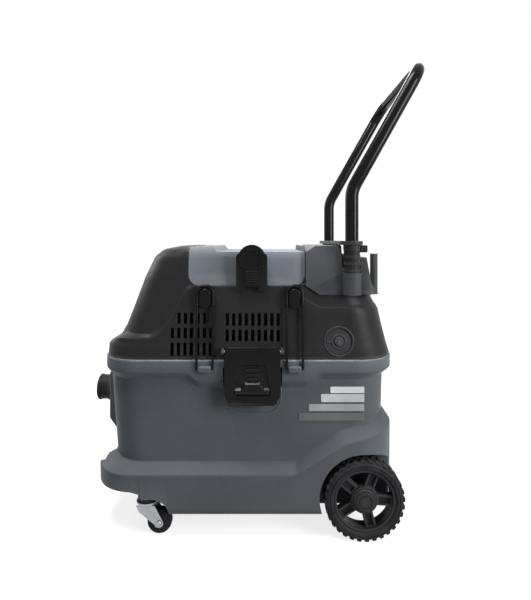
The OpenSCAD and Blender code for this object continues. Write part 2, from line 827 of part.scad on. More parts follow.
module mount_skin(d) {
    skin([mount_ring(d, 5, seam_z - 1), mount_ring(d, 6, seam_z + 12), mount_ring(d, 13, socket_top + 24),
        mount_ring(d, 22, head_top + 2)]);
}

module mount_socket() {
    translate([handle_x, -handle_hw, seam_z]) cylinder(r = socket_r, h = socket_top - seam_z);
}

module handle_mount() {
    color(grey_plastic)
        difference() {
            union() {
                intersection() {
                    mount_skin(0);
                    side_prism(mount_outline, -big, big);
                }
                both_sides() mount_socket();
            }
            difference() {
                intersection() {
                    mount_skin(mount_wall);
                    translate([0, 0, -0.2])
                        side_prism([[mount_front + mount_wall, seam_z - 10], [rear_x - 30, seam_z - 10],
                            [rear_x - 50, tank_top + 155], [rear_x - 58, socket_top - mount_wall],
                            [notch[0] - mount_wall, socket_top - mount_wall], [notch[0] - mount_wall, head_top - 4],
                            [137, head_top - 4], [mount_front + mount_wall, tank_top + 214]], -big, big);
                }
                both_sides() translate([0, 0, -5]) mount_socket();
            }
            both_sides() translate([handle_x, -handle_hw, tube_foot]) cylinder(r = tube_r + run_gap, h = big);
        }
}

module handle_sleeves() {
    color(black)
        both_sides()
            translate([handle_x, -handle_hw, socket_top])
                difference() {
                    union() {
                        cylinder(r = sleeve_r - 1, h = sleeve_top - socket_top - bridge_t);
                        for (z = [2, 16, 30]) translate([0, 0, z]) cylinder(r = sleeve_r, h = 6);
                        translate([0, 0, sleeve_top - socket_top - bridge_t - 12]) cylinder(r = sleeve_r, h = 12);
                    }
                    translate([0, 0, -1]) cylinder(r = tube_r + run_gap, h = 100);
                    translate([sleeve_r - 6, 0, knob_z - socket_top]) rotate([0, 90, 0]) cylinder(r = 3 + run_gap, h = 20);
                }
}

module handle_bridge() {
    plate_x = [handle_x - 26, handle_x + 22];
    color(black)
        translate([0, 0, sleeve_top - bridge_t])
            difference() {
                union() {
                    block([plate_x[0], -handle_hw, 0], [plate_x[1], handle_hw, bridge_t]);
                    both_sides() translate([handle_x - 2, -handle_hw, 0]) cylinder(r = 24, h = bridge_t);
                }
                both_sides() translate([handle_x, -handle_hw, -1]) cylinder(r = tube_r + run_gap, h = bridge_t + 2);
            }
}

module clamp_knob() {
    color(black)
        translate([handle_x, -handle_hw, knob_z - 4]) {
            translate([0, 0, 4]) rotate([0, 90, 0]) {
                translate([0, 0, tube_r + screw_gap]) cylinder(r = 3, h = 8);
                difference() {
                    translate([0, 0, sleeve_r + seat_gap]) cylinder(r = 7.6, h = 13);
                    for (a = [0:45:315])
                        rotate([0, 0, a]) translate([8.2, 0, sleeve_r + 3]) cylinder(r = 1.4, h = 20);
                }
            }
        }
}

module clamp_knob_near() { clamp_knob(); }
module clamp_knob_far() { far_side() clamp_knob(); }

// The handle's centre line as frames [point, tangent, sideways]: upright leg, bend, corner, and back
bend_steps = 5;
corner_steps_tube = 7;
tube_sides = 16;
lean_dir = [sin(lean), 0, cos(lean)];
sideways = [0, 1, 0];

function bend_frame(a, side) = [
    [handle_x + bend_r * (1 - cos(a)), side * handle_hw, bend_z - bend_reach + bend_r * sin(a)],
    -side * [sin(a), 0, cos(a)], -side * sideways];

function corner_frame(b) =
    let (up = lean_run + corner_r * sin(b), side = b <= 90 ? -1 : 1)
    [[lean_start[0] + up * lean_dir.x, side * (handle_hw - corner_r) - corner_r * cos(b),
        lean_start[1] + up * lean_dir.z],
        lean_dir * cos(b) + sideways * sin(b), sideways * cos(b) - lean_dir * sin(b)];

tube_frames = concat(
    [[[handle_x, -handle_hw, tube_foot + seat_gap], [0, 0, 1], sideways]],
    [for (i = [0:bend_steps]) bend_frame(lean * i / bend_steps, -1)],
    [for (i = [0:corner_steps_tube]) corner_frame(90 * i / corner_steps_tube)],
    [for (i = [corner_steps_tube:-1:0]) corner_frame(180 - 90 * i / corner_steps_tube - (i == corner_steps_tube ? -0.001 : 0))],
    [for (i = [bend_steps:-1:0]) bend_frame(lean * i / bend_steps, 1)],
    [[[handle_x, handle_hw, tube_foot + seat_gap], [0, 0, -1], -sideways]]);

function tube_ring(frame, r) = [for (i = [0:tube_sides - 1]) let (a = 360 * i / tube_sides)
    frame[0] + r * (cos(a) * frame[2] + sin(a) * cross(frame[1], frame[2]))];

module handle_tube() {
    n = tube_sides;
    last = len(tube_frames) - 1;
    inner = (last + 1) * n;
    walls = [for (k = [0:last - 1], i = [0:n - 1]) let (a = k * n + i, b = k * n + (i + 1) % n) each [
        [a, a + n, b + n], [a, b + n, b],
        [inner + a, inner + b + n, inner + a + n], [inner + a, inner + b, inner + b + n]]];
    ends = [for (i = [0:n - 1]) let (a = i, b = (i + 1) % n, c = last * n) each [
        [a, b, inner + b], [a, inner + b, inner + a],
        [c + a, inner + c + b, c + b], [c + a, inner + c + a, inner + c + b]]];
    color(black)
        polyhedron(
            points = concat([for (f = tube_frames) each tube_ring(f, tube_r)],
                [for (f = tube_frames) each tube_ring(f, tube_r - tube_wall)]),
            faces = concat(walls, ends), convexity = 8);
}

// ---------- rear fittings ----------

hook_x = rear_x;
hook_r = 9;
gland_z = tank_top + 40;
gland_r = 13;

module cord_hook() {
    color(grey_plastic) {
        difference() {
            block([rear_x - 40, -22, seam_z - 32], [rear_x - 13, 22, seam_z - 4]);
            skin(panel_skin);
        }
        block([rear_x - 14, -hook_r, seam_z - 18], [hook_x, hook_r, seam_z - 4]);
        translate([hook_x, 0, seam_z - 18]) cylinder(r = hook_r, h = tank_top + 212 - seam_z + 18);
    }
}

module cord_gland() {
    color(black)
        difference() {
            union() {
                rod_x(rear_x - 20, rear_x, 0, gland_z, gland_r);
                rod_x(rear_x - 1, rear_x + 8, 0, gland_z, gland_r - 4);
            }
            rod_x(0, big, 0, gland_z, 5);
        }
}

// ---------- lid and filter ----------

lid_step_z = tank_top + 220;
lid_outer = [head_ring(0, -50, -50, 15, lid_z - 5), head_ring(0, -50, -50, 22, tank_top + 207),
    head_ring(0, -50, -50, 29, tank_top + 222), head_ring(0, -50, -50, 38, head_top)];
lid_inner = [head_ring(lid_wall, -50, -50, 15, lid_z - 6), head_ring(lid_wall, -50, -50, 22, tank_top + 207),
    head_ring(lid_wall, -50, -50, 29, tank_top + 220), head_ring(lid_wall, -50, -50, 38, head_top - 1)];
knuckles = [[ear_x[0] + ear_w + 0.5, ear_x[0] + 40], [ear_x[1] - 30, ear_x[1] - 0.5]];

module lid() {
    color(lid_slate)
        difference() {
            union() {
                difference() {
                    intersection() {
                        skin(lid_outer);
                        side_prism(lid_profile(lid_gap, head_top - 1, lid_step_z), -big, big);
                    }
                    intersection() {
                        skin(lid_inner);
                        side_prism(lid_profile(lid_gap + lid_wall, head_top - 1 - lid_wall, lid_step_z - lid_wall), -big, big);
                    }
                    block([lid_front + lid_r, -core_hw + 30, lid_z - 10], [lid_rear - lid_r, core_hw - 30, lid_z + 10]);
                }
                block([lid_latch_x - 24, -latch_boss_y, lid_latch_z - 9], [lid_latch_x + 24, -core_hw + 23, lid_latch_z + 4]);
                for (k = knuckles) {
                    rod_x(k[0], k[1], hinge_y, hinge_z, hinge_r - 0.5);
                    block([k[0], core_hw - 18, hinge_z - 3], [k[1], hinge_y, hinge_z + 4]);
                }
                both_lid_lugs();
            }
            for (k = knuckles) rod_x(k[0] - 1, k[1] + 1, hinge_y, hinge_z, lid_pin_d / 2 + run_gap);
            lid_lug_bores();
        }
}

lid_lug_x = [lid_latch_x - 24, lid_latch_x + 18];

module both_lid_lugs() {
    for (x = lid_lug_x) {
        block([x, -lid_latch_y, lid_latch_z - 5], [x + 6, -latch_boss_y + 1, lid_latch_z + 5]);
        rod_x(x, x + 6, -lid_latch_y, lid_latch_z, 5);
    }
}

module lid_lug_bores() {
    for (x = lid_lug_x) rod_x(x - 1, x + 7, -lid_latch_y, lid_latch_z, lid_latch_pin_d / 2);
}

module lid_hinge_pin() {
    color(zinc) rod_x(ear_x[0] - 1, ear_x[1] + ear_w + 1, hinge_y, hinge_z, lid_pin_d / 2);
}

module lid_seal() {
    color(rubber)
        difference() {
            block([filter_x[0] - 12, -filter_hw - 12, deck_z], [filter_x[1] + 12, filter_hw + 12, deck_z + 3]);
            block([filter_x[0] - 3, -filter_hw - 3, deck_z - 1], [filter_x[1] + 3, filter_hw + 3, deck_z + 4]);
        }
}

module filter_frame() {
    color(black)
        difference() {
            union() {
                block([filter_x[0] - 10, -filter_hw - 10, deck_z + 3], [filter_x[1] + 10, filter_hw + 10, deck_z + 8]);
                block([filter_x[0], -filter_hw, deck_z - 8], [filter_x[1], filter_hw, deck_z + 4]);
            }
            block([filter_x[0] + 6, -filter_hw + 6, deck_z - 20], [filter_x[1] - 6, filter_hw - 6, deck_z + 20]);
        }
}

pleat_x = (filter_x[1] - filter_x[0] - 6) / pleats;
pleat_outline = concat(
    [for (i = [0:pleats - 1]) each [[filter_x[0] + 3 + i * pleat_x, deck_z - 8.2],
        [filter_x[0] + 3 + (i + 0.5) * pleat_x, deck_z - 34]]],
    [[filter_x[1] - 3, deck_z - 8.2], [filter_x[1] - 3, deck_z - filter_h], [filter_x[0] + 3, deck_z - filter_h]]);

module filter_cartridge() {
    color(paper) side_prism(pleat_outline, -filter_hw + 4, filter_hw - 4);
}

module lid_latch() {
    grip = lid_latch_w / 2;
    inner = -lid_latch_y + 2.5;
    outer = inner - lid_latch_t;
    color(black)
        difference() {
            union() {
                rod_y(lid_latch_x, outer, inner, lid_latch_z + 4, lid_latch_r);
                block([lid_latch_x - grip, outer, lid_z - 9], [lid_latch_x + grip, inner, lid_z + 38]);
                for (z = [12:5:32])
                    block([lid_latch_x - 13, outer - 1.5, lid_z + z - 8], [lid_latch_x + 13, outer + 1, lid_z + z - 5.5]);
            }
            rod_y(lid_latch_x, outer - 5, outer + 3, lid_latch_z + 4, 16);
            block([lid_latch_x - 40, -lid_latch_y - 1, lid_latch_z + 3.2], [lid_latch_x + 40, inner + 1, lid_latch_z + 40]);
            block([lid_latch_x - 13, outer - 5, lid_z - 12], [lid_latch_x + 13, inner + 5, lid_z - 2]);
            for (x = lid_lug_x)
                block([x - 0.5, -lid_latch_y - 6, lid_latch_z - 12], [x + 6.5, inner + 5, lid_latch_z + 12]);
            rod_x(-big, big, -lid_latch_y, lid_latch_z, lid_latch_pin_d / 2 + run_gap);
        }
}

module lid_latch_pin() {
    color(zinc)
        rod_x(lid_lug_x[0], lid_lug_x[1] + 6, -lid_latch_y, lid_latch_z, lid_latch_pin_d / 2);
}

// ---------- motor and fan ----------

module at_motor(z) {
    translate([motor_x, 0, z]) children();
}

module fan_casing() {
    color(zinc)
        at_motor(fan_z)
            difference() {
                cylinder(r = motor_d / 2, h = fan_h);
                translate([0, 0, 2]) cylinder(r = motor_d / 2 - 2, h = fan_h - 4);
                translate([0, 0, -1]) cylinder(r = 22, h = 5);
                translate([0, 0, fan_h - 3]) cylinder(r = shaft_r + 3, h = 5);
                for (a = [0:45:315])
                    rotate([0, 0, a]) translate([motor_d / 2 - 5, -6, 40]) cube([10, 12, 10]);
            }
}

module impeller(z) {
    color([0.8, 0.8, 0.82])
        at_motor(z)
            difference() {
                union() {
                    cylinder(r = impeller_d / 2, h = 1.5);
                    translate([0, 0, 14]) tube(impeller_d / 2, 22, 1.5);
                    cylinder(r = shaft_r + 4, h = 15.5);
                    for (a = [0:45:315])
                        rotate([0, 0, a]) translate([24, 0, 1]) rotate([0, 0, 25]) cube([26, 1.5, 13.5]);
                }
                translate([0, 0, -1]) cylinder(r = shaft_r, h = 20);
            }
}

module impeller_lower() { impeller(fan_z + 6); }
module impeller_upper() { impeller(fan_z + 26); }

module motor_case() {
    color(black)
        at_motor(motor_z)
            difference() {
                cylinder(r = case_r, h = motor_h);
                translate([0, 0, 3]) cylinder(r = case_r - 3, h = motor_h - 6);
                translate([0, 0, -1]) cylinder(r = bearing_r - 3, h = 6);
                for (a = [0:60:300])
                    rotate([0, 0, a]) translate([case_r - 8, -8, 6]) cube([20, 16, 12]);
            }
}

bearing_low_z = motor_z + 3;
bearing_high_z = motor_z + motor_h - 3 - bearing_h;

module bearing(z) {
    color(zinc) at_motor(z) tube(bearing_r, shaft_r + run_gap, bearing_h);
}

module bearing_bottom() { bearing(bearing_low_z); }
module bearing_top() { bearing(bearing_high_z); }

winding_drop = 20;

module stator() {
    color(copper)
        at_motor(motor_z + winding_drop)
            difference() {
                tube(case_r - 3, rotor_r + 1, motor_h - 2 * winding_drop);
                for (a = [0:30:330])
                    rotate([0, 0, a]) translate([rotor_r + 5, -2.5, -1]) cube([8, 5, motor_h]);
            }
}

module rotor() {
    color([0.55, 0.5, 0.45])
        at_motor(0) {
            translate([0, 0, fan_z + 6]) cylinder(r = shaft_r, h = bearing_high_z + bearing_h - fan_z - 6);
            translate([0, 0, motor_z + winding_drop]) cylinder(r = rotor_r, h = motor_h - 2 * winding_drop);
            translate([0, 0, motor_z + motor_h - winding_drop]) cylinder(r = 12, h = 6);
        }
}

// ---------- float valve ----------

cage_z = base_z - collar_h - cage_h;

module float_cage() {
    color(black)
        translate([float_x, 0, cage_z])
            difference() {
                union() {
                    cylinder(r = cage_r, h = cage_h + 1);
                    translate([0, 0, cage_h]) cylinder(r = cage_r + 3, h = collar_h);
                }
                translate([0, 0, 3]) cylinder(r = float_r + 1.5, h = cage_h - 3);
                translate([0, 0, 3]) cylinder(r = float_r - 4, h = cage_h + collar_h);
                for (a = [0:45:135])
                    rotate([0, 0, a]) translate([-cage_r - 1, -6, 10]) cube([2 * cage_r + 2, 12, cage_h - 22]);
            }
}

module float_ball() {
    color([0.85, 0.4, 0.15]) translate([float_x, 0, cage_z + 3 + float_r]) sphere(r = float_r);
}

// ---------- controls ----------

module dial_place() {
    translate([dial_x, -dial_y, dial_z]) rotate([90 - dial_tilt, 0, 0]) children();
}

module dial_bezel() {
    color(black) dial_place() translate([0, 0, -dial_depth]) tube(dial_d / 2, dial_d / 2 - 4, dial_depth + 2);
}

module dial() {
    color(grey_plastic)
        dial_place()
            difference() {
                union() {
                    translate([0, 0, -dial_depth]) cylinder(r = dial_d / 2 - 4.3, h = dial_depth - 1);
                    cylinder(r = 9, h = 4);
                    translate([0, 0, -2]) tube(15, 12, 3);
                    translate([0, 0, -1.5]) cylinder(r = 9, h = 3);
                }
                translate([-dial_d / 2 + 7, -0.8, -2]) cube([10, 1.6, 3]);
            }
}

// Plane of the head's front slope
slope = atan2(24, 68);

module panel_place() {
    translate([front_x + 57, 0, tank_top + 131]) rotate([0, slope, 0]) children();
}

module switch_panel() {
    color(grey_plastic)
        panel_place()
            difference() {
                union() {
                    block([-3.2, -50, -27], [-seat_gap, 50, 27]);
                    block([-1.4, -20.5, -12.5], [7, 20.5, 12.5]);
                }
                block([-4, -12.3, -10.3], [8, 12.3, 10.3]);
            }
}

module rocker_switch() {
    color([0.75, 0.1, 0.1])
        panel_place()
            intersection() {
                rod_y(0, -12, 12, 0, 10);
                side_prism([[-7, 0], [-4.5, -12], [12, -12], [12, 12], [-4.5, 12]], -20, 20);
            }
}

// ---------- side latches and bails ----------

latch_low = latch_top - latch_h;

module side_latch() {
    grip = latch_w / 2;
    y_in = -latch_inner;
    y_out = -latch_inner - latch_t;
    color(black)
        difference() {
            union() {
                block([latch_x - grip, y_out + 2, latch_low + 18], [latch_x + grip, y_in, latch_top]);
                block([latch_x - grip + 12, y_out, latch_low + 4], [latch_x + grip - 12, y_in, latch_top - 26]);
                translate([0, 0, latch_low + 18])
                    for (s = [-1, 1])
                        rod_y(latch_x + s * (grip - 18), y_out + 2, y_in, 0, 18);
                block([latch_x - grip + 18, y_out + 2, latch_low], [latch_x + grip - 18, y_in, latch_low + 20]);
                block([latch_x - 24, y_in - 1, tank_top - rim_band_h - rim_chamfer - 10],
                    [latch_x + 24, -tank_hw - 1.6, tank_top - rim_band_h - rim_chamfer - 2.5]);
            }
            block([latch_x - 34, y_out - 1, latch_low + 12], [latch_x + 34, y_out + 4, latch_low + 34]);
            rod_x(-big, big, -latch_pin_y, latch_pin_z, latch_pin_d / 2 + run_gap);
        }
}

module side_latch_near() { side_latch(); }
module side_latch_far() { far_side() side_latch(); }

module latch_pins() {
    color(zinc)
        both_sides()
            rod_x(latch_x - latch_w / 2 - 6.5, latch_x + latch_w / 2 + 6.5, -latch_pin_y, latch_pin_z, latch_pin_d / 2);
}

module bail(x) {
    r = wire_d / 2;
    leg = bail_w / 2;
    color(black)
        translate([x, -bail_y, bail_z])
            rotate([-bail_lean, 0, 0]) {
                for (s = [-1, 1]) {
                    translate([s * leg, 0, 0]) cylinder(r = r, h = bail_len);
                    translate([s * leg, 0, 0]) sphere(r = r);
                    translate([s * leg, 0, 0]) rotate([0, -90 * s, 0]) cylinder(r = r, h = leg - 5);
                    translate([s * leg, 0, bail_len - sleeve_len]) cylinder(r = sleeve_wire_r, h = sleeve_len);
                }
                translate([0, 0, bail_len])
                    rotate([90, 0, 0])
                        rotate_extrude(angle = 180) translate([leg, 0]) circle(r = sleeve_wire_r);
            }
}

module bail_front_near() { bail(bail_front_x); }
module bail_rear_near() { bail(bail_rear_x); }
module bail_front_far() { far_side() bail(bail_front_x); }
module bail_rear_far() { far_side() bail(bail_rear_x); }

tank();
tank_seal();
inlet_ring();
inlet_deflector();
axle();
axle_clips();
rear_tyre_near();
rear_rim_near();
hub_cap_near();
rear_tyre_far();
rear_rim_far();
hub_cap_far();
castor_mount_near();
castor_fork_near();
castor_wheel_near();
castor_axle_near();
castor_mount_far();
castor_fork_far();
castor_wheel_far();
castor_axle_far();
head_base();
head_shell();
bail_rests();
vent_foam();
handle_mount();
cord_hook();
cord_gland();
lid();
lid_hinge_pin();
lid_seal();
lid_latch();
lid_latch_pin();
filter_frame();
filter_cartridge();
fan_casing();
impeller_lower();
impeller_upper();
motor_case();
stator();
rotor();
bearing_bottom();
bearing_top();
float_cage();
float_ball();
dial_bezel();
dial();
switch_panel();
rocker_switch();
side_latch_near();
side_latch_far();
latch_pins();
bail_front_near();
bail_rear_near();
bail_front_far();
bail_rear_far();
handle_sleeves();
handle_bridge();
handle_tube();
clamp_knob_near();
clamp_knob_far();
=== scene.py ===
import json
import math

import bmesh
import bpy
from mathutils import Matrix, Vector


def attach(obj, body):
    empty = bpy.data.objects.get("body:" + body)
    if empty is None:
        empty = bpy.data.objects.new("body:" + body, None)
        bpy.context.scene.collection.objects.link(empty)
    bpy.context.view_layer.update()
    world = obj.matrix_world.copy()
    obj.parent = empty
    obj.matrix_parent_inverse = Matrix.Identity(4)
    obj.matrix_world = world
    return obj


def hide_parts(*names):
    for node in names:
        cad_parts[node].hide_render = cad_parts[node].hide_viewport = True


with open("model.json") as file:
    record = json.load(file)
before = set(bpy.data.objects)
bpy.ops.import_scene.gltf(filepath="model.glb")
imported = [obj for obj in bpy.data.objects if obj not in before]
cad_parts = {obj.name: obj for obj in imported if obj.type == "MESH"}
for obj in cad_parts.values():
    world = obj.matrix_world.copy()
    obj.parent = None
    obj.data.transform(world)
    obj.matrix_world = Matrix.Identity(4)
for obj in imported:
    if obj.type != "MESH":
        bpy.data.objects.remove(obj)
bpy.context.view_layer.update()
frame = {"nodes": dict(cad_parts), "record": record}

# Shapes are in millimetres in the CAD frame: X from the hose inlet to the handle, near side at -Y,
# floor at z = 0. Meshes are scaled to metres when they are made. Lamps and materials are in metres.
MM = 0.001
ROWS = frame["record"]["subparts"]
BODY_OF = {node: body for body, nodes in frame["record"]["behaviour"]["bodies"].items() for node in nodes}
SLOT_OF = {row["node"]: row["material_slot"] for row in ROWS}


# ---------- materials ----------

def linear(*rgb):
    """Scene colour of an 8-bit display colour."""
    return [((c / 255 + 0.055) / 1.055) ** 2.4 if c > 10 else c / 255 / 12.92 for c in rgb] + [1.0]


def shade(colour, factor):
    return [c * factor for c in colour[:3]] + [1.0]


class Finish:
    """A material's node tree, with short ways to add and join nodes."""

    def __init__(self, name):
        self.material = bpy.data.materials.new(name)
        self.material.use_nodes = True
        self.tree = self.material.node_tree
        self.shader = self.tree.nodes["Principled BSDF"]
        self.place = self.tree.nodes.new("ShaderNodeTexCoord").outputs["Object"]

    def put(self, socket, value):
        if isinstance(value, bpy.types.NodeSocket):
            self.tree.links.new(value, socket)
        else:
            socket.default_value = value

    def add(self, kind, **inputs):
        node = self.tree.nodes.new("ShaderNode" + kind)
        for key, value in inputs.items():
            self.put(node.inputs[key.replace("_", " ")], value)
        return node

    def noise(self, scale, detail, stretch=None):
        place = self.place
        if stretch:
            place = self.add("Mapping", Vector=place, Scale=stretch).outputs["Vector"]
        return self.add("TexNoise", Vector=place, Scale=scale, Detail=detail).outputs["Fac"]

    def ramp(self, fac, low, high, colour_low, colour_high):
        node = self.add("ValToRGB", Fac=fac)
        for element, place, colour in zip(node.color_ramp.elements, (low, high), (colour_low, colour_high)):
            element.position = place
            element.color = colour
        return node.outputs["Color"]

    def span(self, value, low, high, to_low, to_high):
        node = self.add("MapRange", Value=value)
        for key, number in (("From Min", low), ("From Max", high), ("To Min", to_low), ("To Max", to_high)):
            node.inputs[key].default_value = number
        return node.outputs["Result"]

    def blend(self, kind, factor, a, b):
        node = self.tree.nodes.new("ShaderNodeMix")
        node.data_type = "RGBA"
        node.blend_type = kind
        for index, value in ((0, factor), (6, a), (7, b)):
            self.put(node.inputs[index], value)
        return node.outputs[2]

    def bump(self, height, strength, distance):
        return self.add("Bump", Height=height, Strength=strength, Distance=distance).outputs["Normal"]

    def edges(self, low=0.52, high=0.6):
        return self.span(self.add("NewGeometry").outputs["Pointiness"], low, high, 0, 1)

    def set(self, **inputs):
        for key, value in inputs.items():
            self.put(self.shader.inputs[key.replace("_", " ")], value)
        return self.material


def moulded(name, colour, rough, grain, depth, edge_highlight=1.35, shine=0.08):
    """Moulded plastic: fine spark-eroded grain, slow tone changes, and sharp edges made paler by a painted
    highlight.
    """
    m = Finish(name)
    tone = m.ramp(m.noise(9, 4), 0.3, 0.7, shade(colour, 0.92), shade(colour, 1.08))
    fleck = m.ramp(m.noise(grain * 0.6, 2), 0.35, 0.65, [0.88, 0.88, 0.88, 1], [1.1, 1.1, 1.1, 1])
    grained = m.blend("MULTIPLY", 1.0, tone, fleck)
    # Painted highlight: where Pointiness marks a sharp outer edge, the colour is mixed towards the base
    # colour times the edge factor.
    highlighted = m.blend("MIX", m.edges(), grained, shade(colour, edge_highlight))
    normal = m.bump(m.noise(grain, 2), depth, 0.0003)
    roughness = m.span(m.noise(30, 3), 0.3, 0.7, rough - 0.05, rough + 0.05)
    return m.set(Base_Color=highlighted, Roughness=roughness, Normal=normal, Specular_IOR_Level=shine)


def glossy(name, colour, rough, edge_highlight=2.2, shine=0.16):
    """Smooth plastic or paint, with faint flow marks, small differences in gloss, and a painted highlight on
    sharp edges.
    """
    m = Finish(name)
    tone = m.ramp(m.noise(14, 4), 0.3, 0.7, shade(colour, 0.88), shade(colour, 1.12))
    # Painted highlight: sharp outer edges, found by Pointiness, are mixed towards a paler colour.
    highlighted = m.blend("MIX", m.edges(0.54, 0.66), tone, shade(colour, edge_highlight))
    normal = m.bump(m.noise(160, 2), 0.12, 0.0004)
    roughness = m.span(m.noise(60, 4), 0.3, 0.7, rough * 0.75, rough * 1.3)
    return m.set(Base_Color=highlighted, Roughness=roughness, Normal=normal, Specular_IOR_Level=shine)


def rubber(name, colour, rough=0.75):
    """Dull rubber with a dusty bloom and a coarse skin."""
    m = Finish(name)
    tone = m.ramp(m.noise(45, 5), 0.35, 0.72, shade(colour, 0.8), shade(colour, 1.35))
    normal = m.bump(m.noise(900, 3), 0.35, 0.0004)
    roughness = m.span(m.noise(80, 3), 0.3, 0.7, rough - 0.08, rough + 0.1)
    return m.set(Base_Color=tone, Roughness=roughness, Normal=normal, Specular_IOR_Level=0.1)


def metal(name, colour, rough):
    """Plated or cast metal with fine drawn lines and cloudy reflections."""
    m = Finish(name)
    tone = m.ramp(m.noise(60, 4), 0.3, 0.7, shade(colour, 0.82), shade(colour, 1.08))
    normal = m.bump(m.noise(700, 2, stretch=(1, 1, 14)), 0.2, 0.0002)
    roughness = m.span(m.noise(120, 3), 0.3, 0.7, rough * 0.7, rough * 1.4)
    return m.set(Base_Color=tone, Roughness=roughness, Normal=normal, Metallic=1.0)


def cloth(name, colour):
    """Filter cloth or foam with a felted face."""
    m = Finish(name)
    tone = m.ramp(m.noise(400, 4), 0.3, 0.7, shade(colour, 0.8), shade(colour, 1.05))
    normal = m.bump(m.noise(1500, 4), 0.5, 0.0005)
    return m.set(Base_Color=tone, Roughness=0.95, Normal=normal)


# The edge factor given to each moulded and glossy finish sets how pale its painted edge highlight is.
MATERIALS = {
    "slate_plastic": moulded("slate_plastic", linear(80, 84, 89), 0.5, 1400, 0.25, edge_highlight=1.7),
    "lid_plastic": moulded("lid_plastic", linear(98, 103, 108), 0.4, 1600, 0.15, edge_highlight=1.6),
    "black_plastic": moulded("black_plastic", linear(38, 38, 39), 0.38, 1300, 0.3, edge_highlight=3.4, shine=0.07),
    "mount_plastic": moulded("mount_plastic", linear(54, 55, 57), 0.4, 1300, 0.3, edge_highlight=2.4, shine=0.09),
    "gloss_black": glossy("gloss_black", linear(16, 16, 17), 0.18, edge_highlight=7, shine=0.1),
    "handle_paint": glossy("handle_paint", linear(15, 15, 16), 0.16, edge_highlight=1.5, shine=0.09),
    "tyre_rubber": rubber("tyre_rubber", linear(40, 40, 42)),
    "seal_rubber": rubber("seal_rubber", linear(132, 136, 140), 0.6),
    "dark_rubber": rubber("dark_rubber", linear(34, 34, 35)),
    "zinc_steel": metal("zinc_steel", linear(150, 151, 154), 0.36),
    "aluminium": metal("aluminium", linear(212, 213, 216), 0.4),
    "copper": metal("copper", linear(190, 110, 60), 0.35),
    "filter_paper": cloth("filter_paper", linear(222, 216, 204)),
    "black_foam": cloth("black_foam", linear(22, 22, 23)),
    "float_plastic": moulded("float_plastic", linear(205, 110, 40), 0.45, 900, 0.1),
    "switch_red": glossy("switch_red", linear(170, 30, 30), 0.3),
}


# ---------- mesh helpers ----------

def add_object(name, mesh):
    obj = bpy.data.objects.new(name, mesh)
    bpy.context.scene.collection.objects.link(obj)
    return obj


def build(name, verts, faces):
    """Object from points in millimetres, with its normals outwards."""
    mesh = bpy.data.meshes.new(name)
    mesh.from_pydata([Vector(v) * MM for v in verts], [], faces)
    bm = bmesh.new()
    bm.from_mesh(mesh)
    bmesh.ops.remove_doubles(bm, verts=bm.verts, dist=0.001 * MM)
    bmesh.ops.recalc_face_normals(bm, faces=bm.faces)
    bm.to_mesh(mesh)
    bm.free()
    return add_object(name, mesh)


def apply_modifiers(obj):
    bpy.context.view_layer.update()
    evaluated = obj.evaluated_get(bpy.context.evaluated_depsgraph_get())
    mesh = bpy.data.meshes.new_from_object(evaluated)
    obj.modifiers.clear()
    old = obj.data
    obj.data = mesh
    bpy.data.meshes.remove(old)
    return obj


def bevel(obj, width, segments=2, degrees=35):
    mod = obj.modifiers.new("bevel", "BEVEL")
    mod.width = width * MM
    mod.segments = segments
    mod.limit_method = "ANGLE"
    mod.angle_limit = math.radians(degrees)
    mod.miter_outer = "MITER_ARC"
    return apply_modifiers(obj)


def cut(obj, *tools, operation="DIFFERENCE"):
    for tool in tools:
        mod = obj.modifiers.new("cut", "BOOLEAN")
        mod.object = tool
        mod.solver = "EXACT"
        mod.operation = operation
        apply_modifiers(obj)
        bpy.data.objects.remove(tool)
    return obj


def join(obj, *others):
    bm = bmesh.new()
    bm.from_mesh(obj.data)
    for other in others:
        bm.from_mesh(other.data)
        bpy.data.objects.remove(other)
    bm.to_mesh(obj.data)
    bm.free()
    return obj


def smooth(obj, degrees):
    """Smooth shading with sharp edges over the angle, and normals that keep flat faces flat."""
    bm = bmesh.new()
    bm.from_mesh(obj.data)
    limit = math.radians(degrees)
    for face in bm.faces:
        face.smooth = True
    for edge in bm.edges:
        edge.smooth = edge.is_manifold and edge.calc_face_angle(0) < limit
    bm.to_mesh(obj.data)
    bm.free()
    mod = obj.modifiers.new("normals", "WEIGHTED_NORMAL")
    mod.keep_sharp = True
    return apply_modifiers(obj)


def moved(obj, matrix):
    obj.data.transform(Matrix.Translation(matrix.translation * MM) @ matrix.to_3x3().to_4x4())
    return obj


def copy_of(obj):
    return add_object(obj.name + "_copy", obj.data.copy())


def far_copy(obj):
    """Mirror image of a near-side piece on the far side."""
    other = copy_of(obj)
    other.data.transform(Matrix.Scale(-1, 4, (0, 1, 0)))
    other.data.flip_normals()
    return other


def piece(obj, node, material=None, degrees=32):
    """Finishes a piece that stands for a CAD node, in the node's own material unless another is given."""
    smooth(obj, degrees)
    obj.name = node + "_look"
    obj.data.materials.clear()
    obj.data.materials.append(material or MATERIALS[SLOT_OF[node]])
    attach(obj, BODY_OF[node])
    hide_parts(node)


def both_pieces(obj, stem):
    """The near-side piece and its mirror image on the far side."""
    other = far_copy(obj)
    piece(obj, stem + "_near")
    piece(other, stem + "_far")


# ---------- shapes ----------

def prism_faces(n):
    """Faces of a solid whose first n points are one end and whose next n are the other."""
    sides = [[i, (i + 1) % n, n + (i + 1) % n, n + i] for i in range(n)]
    return [list(range(n)), list(range(2 * n - 1, n - 1, -1))] + sides


def frustum(face, back, y_face, y_back, name="frustum"):
    """Solid between two outlines in X and Z with as many points each."""
    verts = [(x, y_face, z) for x, z in face] + [(x, y_back, z) for x, z in back]
    return build(name, verts, prism_faces(len(face)))


def side_prism(points, y0, y1, name="prism"):
    """Prism of an X-Z outline between two Y planes."""
    return frustum(points, points, y0, y1, name)


